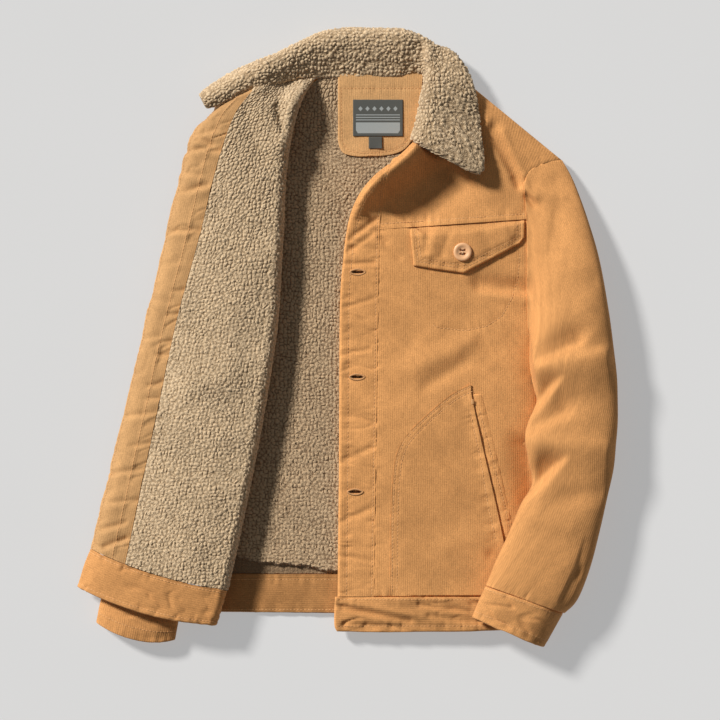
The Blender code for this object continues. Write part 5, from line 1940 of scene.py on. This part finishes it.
# %% [markdown]
# ## The flap's button
# A four-hole button of resin, sewn on with thread as dark as the shade in its holes: painted shade.
# It is drilled after it is turned, as a real one is. The three buttons on the hidden face of the right
# front keep their solids, because nothing shows them.

# %% The flap's button
bx, by = FLAP_BUTTON
rest = float(body(np.array(bx), np.array(by))) + LAY + FLAP_WALL + 1.3
points, faces = lathe(BUTTON_PROFILE, 48, (bx, by, rest))
button = mesh_piece("flap_button_resin", points, faces, BUTTON, points[:, :2], {})
places = [(bx + sx * HOLE_OFF, by + sy * HOLE_OFF) for sx in (-1, 1) for sy in (-1, 1)]
drill(button, [circle(x, y, HOLE_RADIUS, 12) for x, y in places], rest - 5, rest + 9)
carried(button)
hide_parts("flap_button")
for number in (1, 2, 3):
    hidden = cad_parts[f"front_button_{number}"]
    for place in hidden.material_slots:
        place.material = BUTTON

# The shank thread runs dark across the holes: it paints the shade in them.
t = np.linspace(-1, 1, 9)
thread_high = rest + 1.9 + 0.5 * (1 - t**4) - 0.6 * t**8
for side in (-1, 1):
    for strand in (-0.25, 0.25):
        row = np.full(9, by + side * HOLE_OFF + strand)
        path = np.stack([bx + t * HOLE_OFF, row, thread_high], axis=1)
        stitch_row("button_thread", path, np.tile(UPRIGHT, (9, 1)))
print("holes in the button:", len(places))

# %% [markdown]
# ## Buttonholes
# A buttonhole is a slit with a thick edge of thread that keeps it from fraying. The slit is cut
# through the placket. The edge could be made of single stitches, but they are finer than a pixel, so
# it is a ring with ribs.

# %% Buttonholes
placket = bpy.data.objects["left_placket_cloth"]
drill(placket, [slit(x, y, SLIT_LONG, SLIT_HALF) for x, y in BUTTONHOLES], 0, 60)


def buttonhole_rim(x, y):
    """A thread edge: a ring that follows the slit, a round section with ribs across it."""
    turn = np.linspace(0, 2 * pi, 73)
    bulge = 0.7 + 0.3 * np.sin(turn) ** 2
    path = np.stack([x + RIM_LONG * np.cos(turn), y + RIM_WIDE * np.sin(turn) * bulge], axis=1)
    run = run_length(path)
    line = sample(np.linspace(0, run[-1], RIM_STEPS + 1)[:-1], run, path)
    way = np.roll(line, -1, axis=0) - np.roll(line, 1, axis=0)
    out = np.stack([way[:, 1], -way[:, 0]], axis=1) / np.linalg.norm(way, axis=1, keepdims=True)
    turn = np.linspace(0, 2 * pi, RIM_SIDES, endpoint=False)
    thick = (RIM_THICK + 0.16 * np.where(np.arange(RIM_STEPS) % 3 == 0, -1, 0.5))[:, None]
    plan = line[:, None] + out[:, None] * (1.3 * thick * np.cos(turn))[..., None]
    return np.dstack([plan, body(*line.T)[:, None] + 0.65 + 0.8 * thick * np.sin(turn)])


points = np.vstack([buttonhole_rim(x, y).reshape(-1, 3) for x, y in BUTTONHOLES])
faces = []
for grid in np.arange(len(points)).reshape(-1, RIM_STEPS, RIM_SIDES):
    grid = np.vstack([grid, grid[:1]])
    faces += quads(np.hstack([grid, grid[:, :1]])).tolist()
rims = mesh_piece("buttonhole_rims", points, faces, HOLE_THREAD, points[:, :2], {})
carried(rims)
print("buttonholes:", len(BUTTONHOLES))

# %% [markdown]
# ## Thread
# All rows kept so far become stitches. The pocket's slit ends in a short dense bar tack.

# %% Thread
TACK_ROWS = 7
TACK_X, TACK_Y = 150.5, -74.5
TACK_HALF = 3.2
TACK_STEP = 0.8

t = np.linspace(-1, 1, 7)
for k in range(TACK_ROWS):
    x, y = TACK_X + t * TACK_HALF, np.full(len(t), TACK_Y - k * TACK_STEP)
    path = np.stack([x, y, body(x, y) + LAY + POCKET_WALL + 0.4], axis=1)
    stitch_row("body_stitching", path, np.tile(UPRIGHT, (len(t), 1)))
for name in sorted(THREADS):
    stitches(name, SHANK_THREAD_AS_HOLE_SHADE if name == "button_thread" else STITCH)
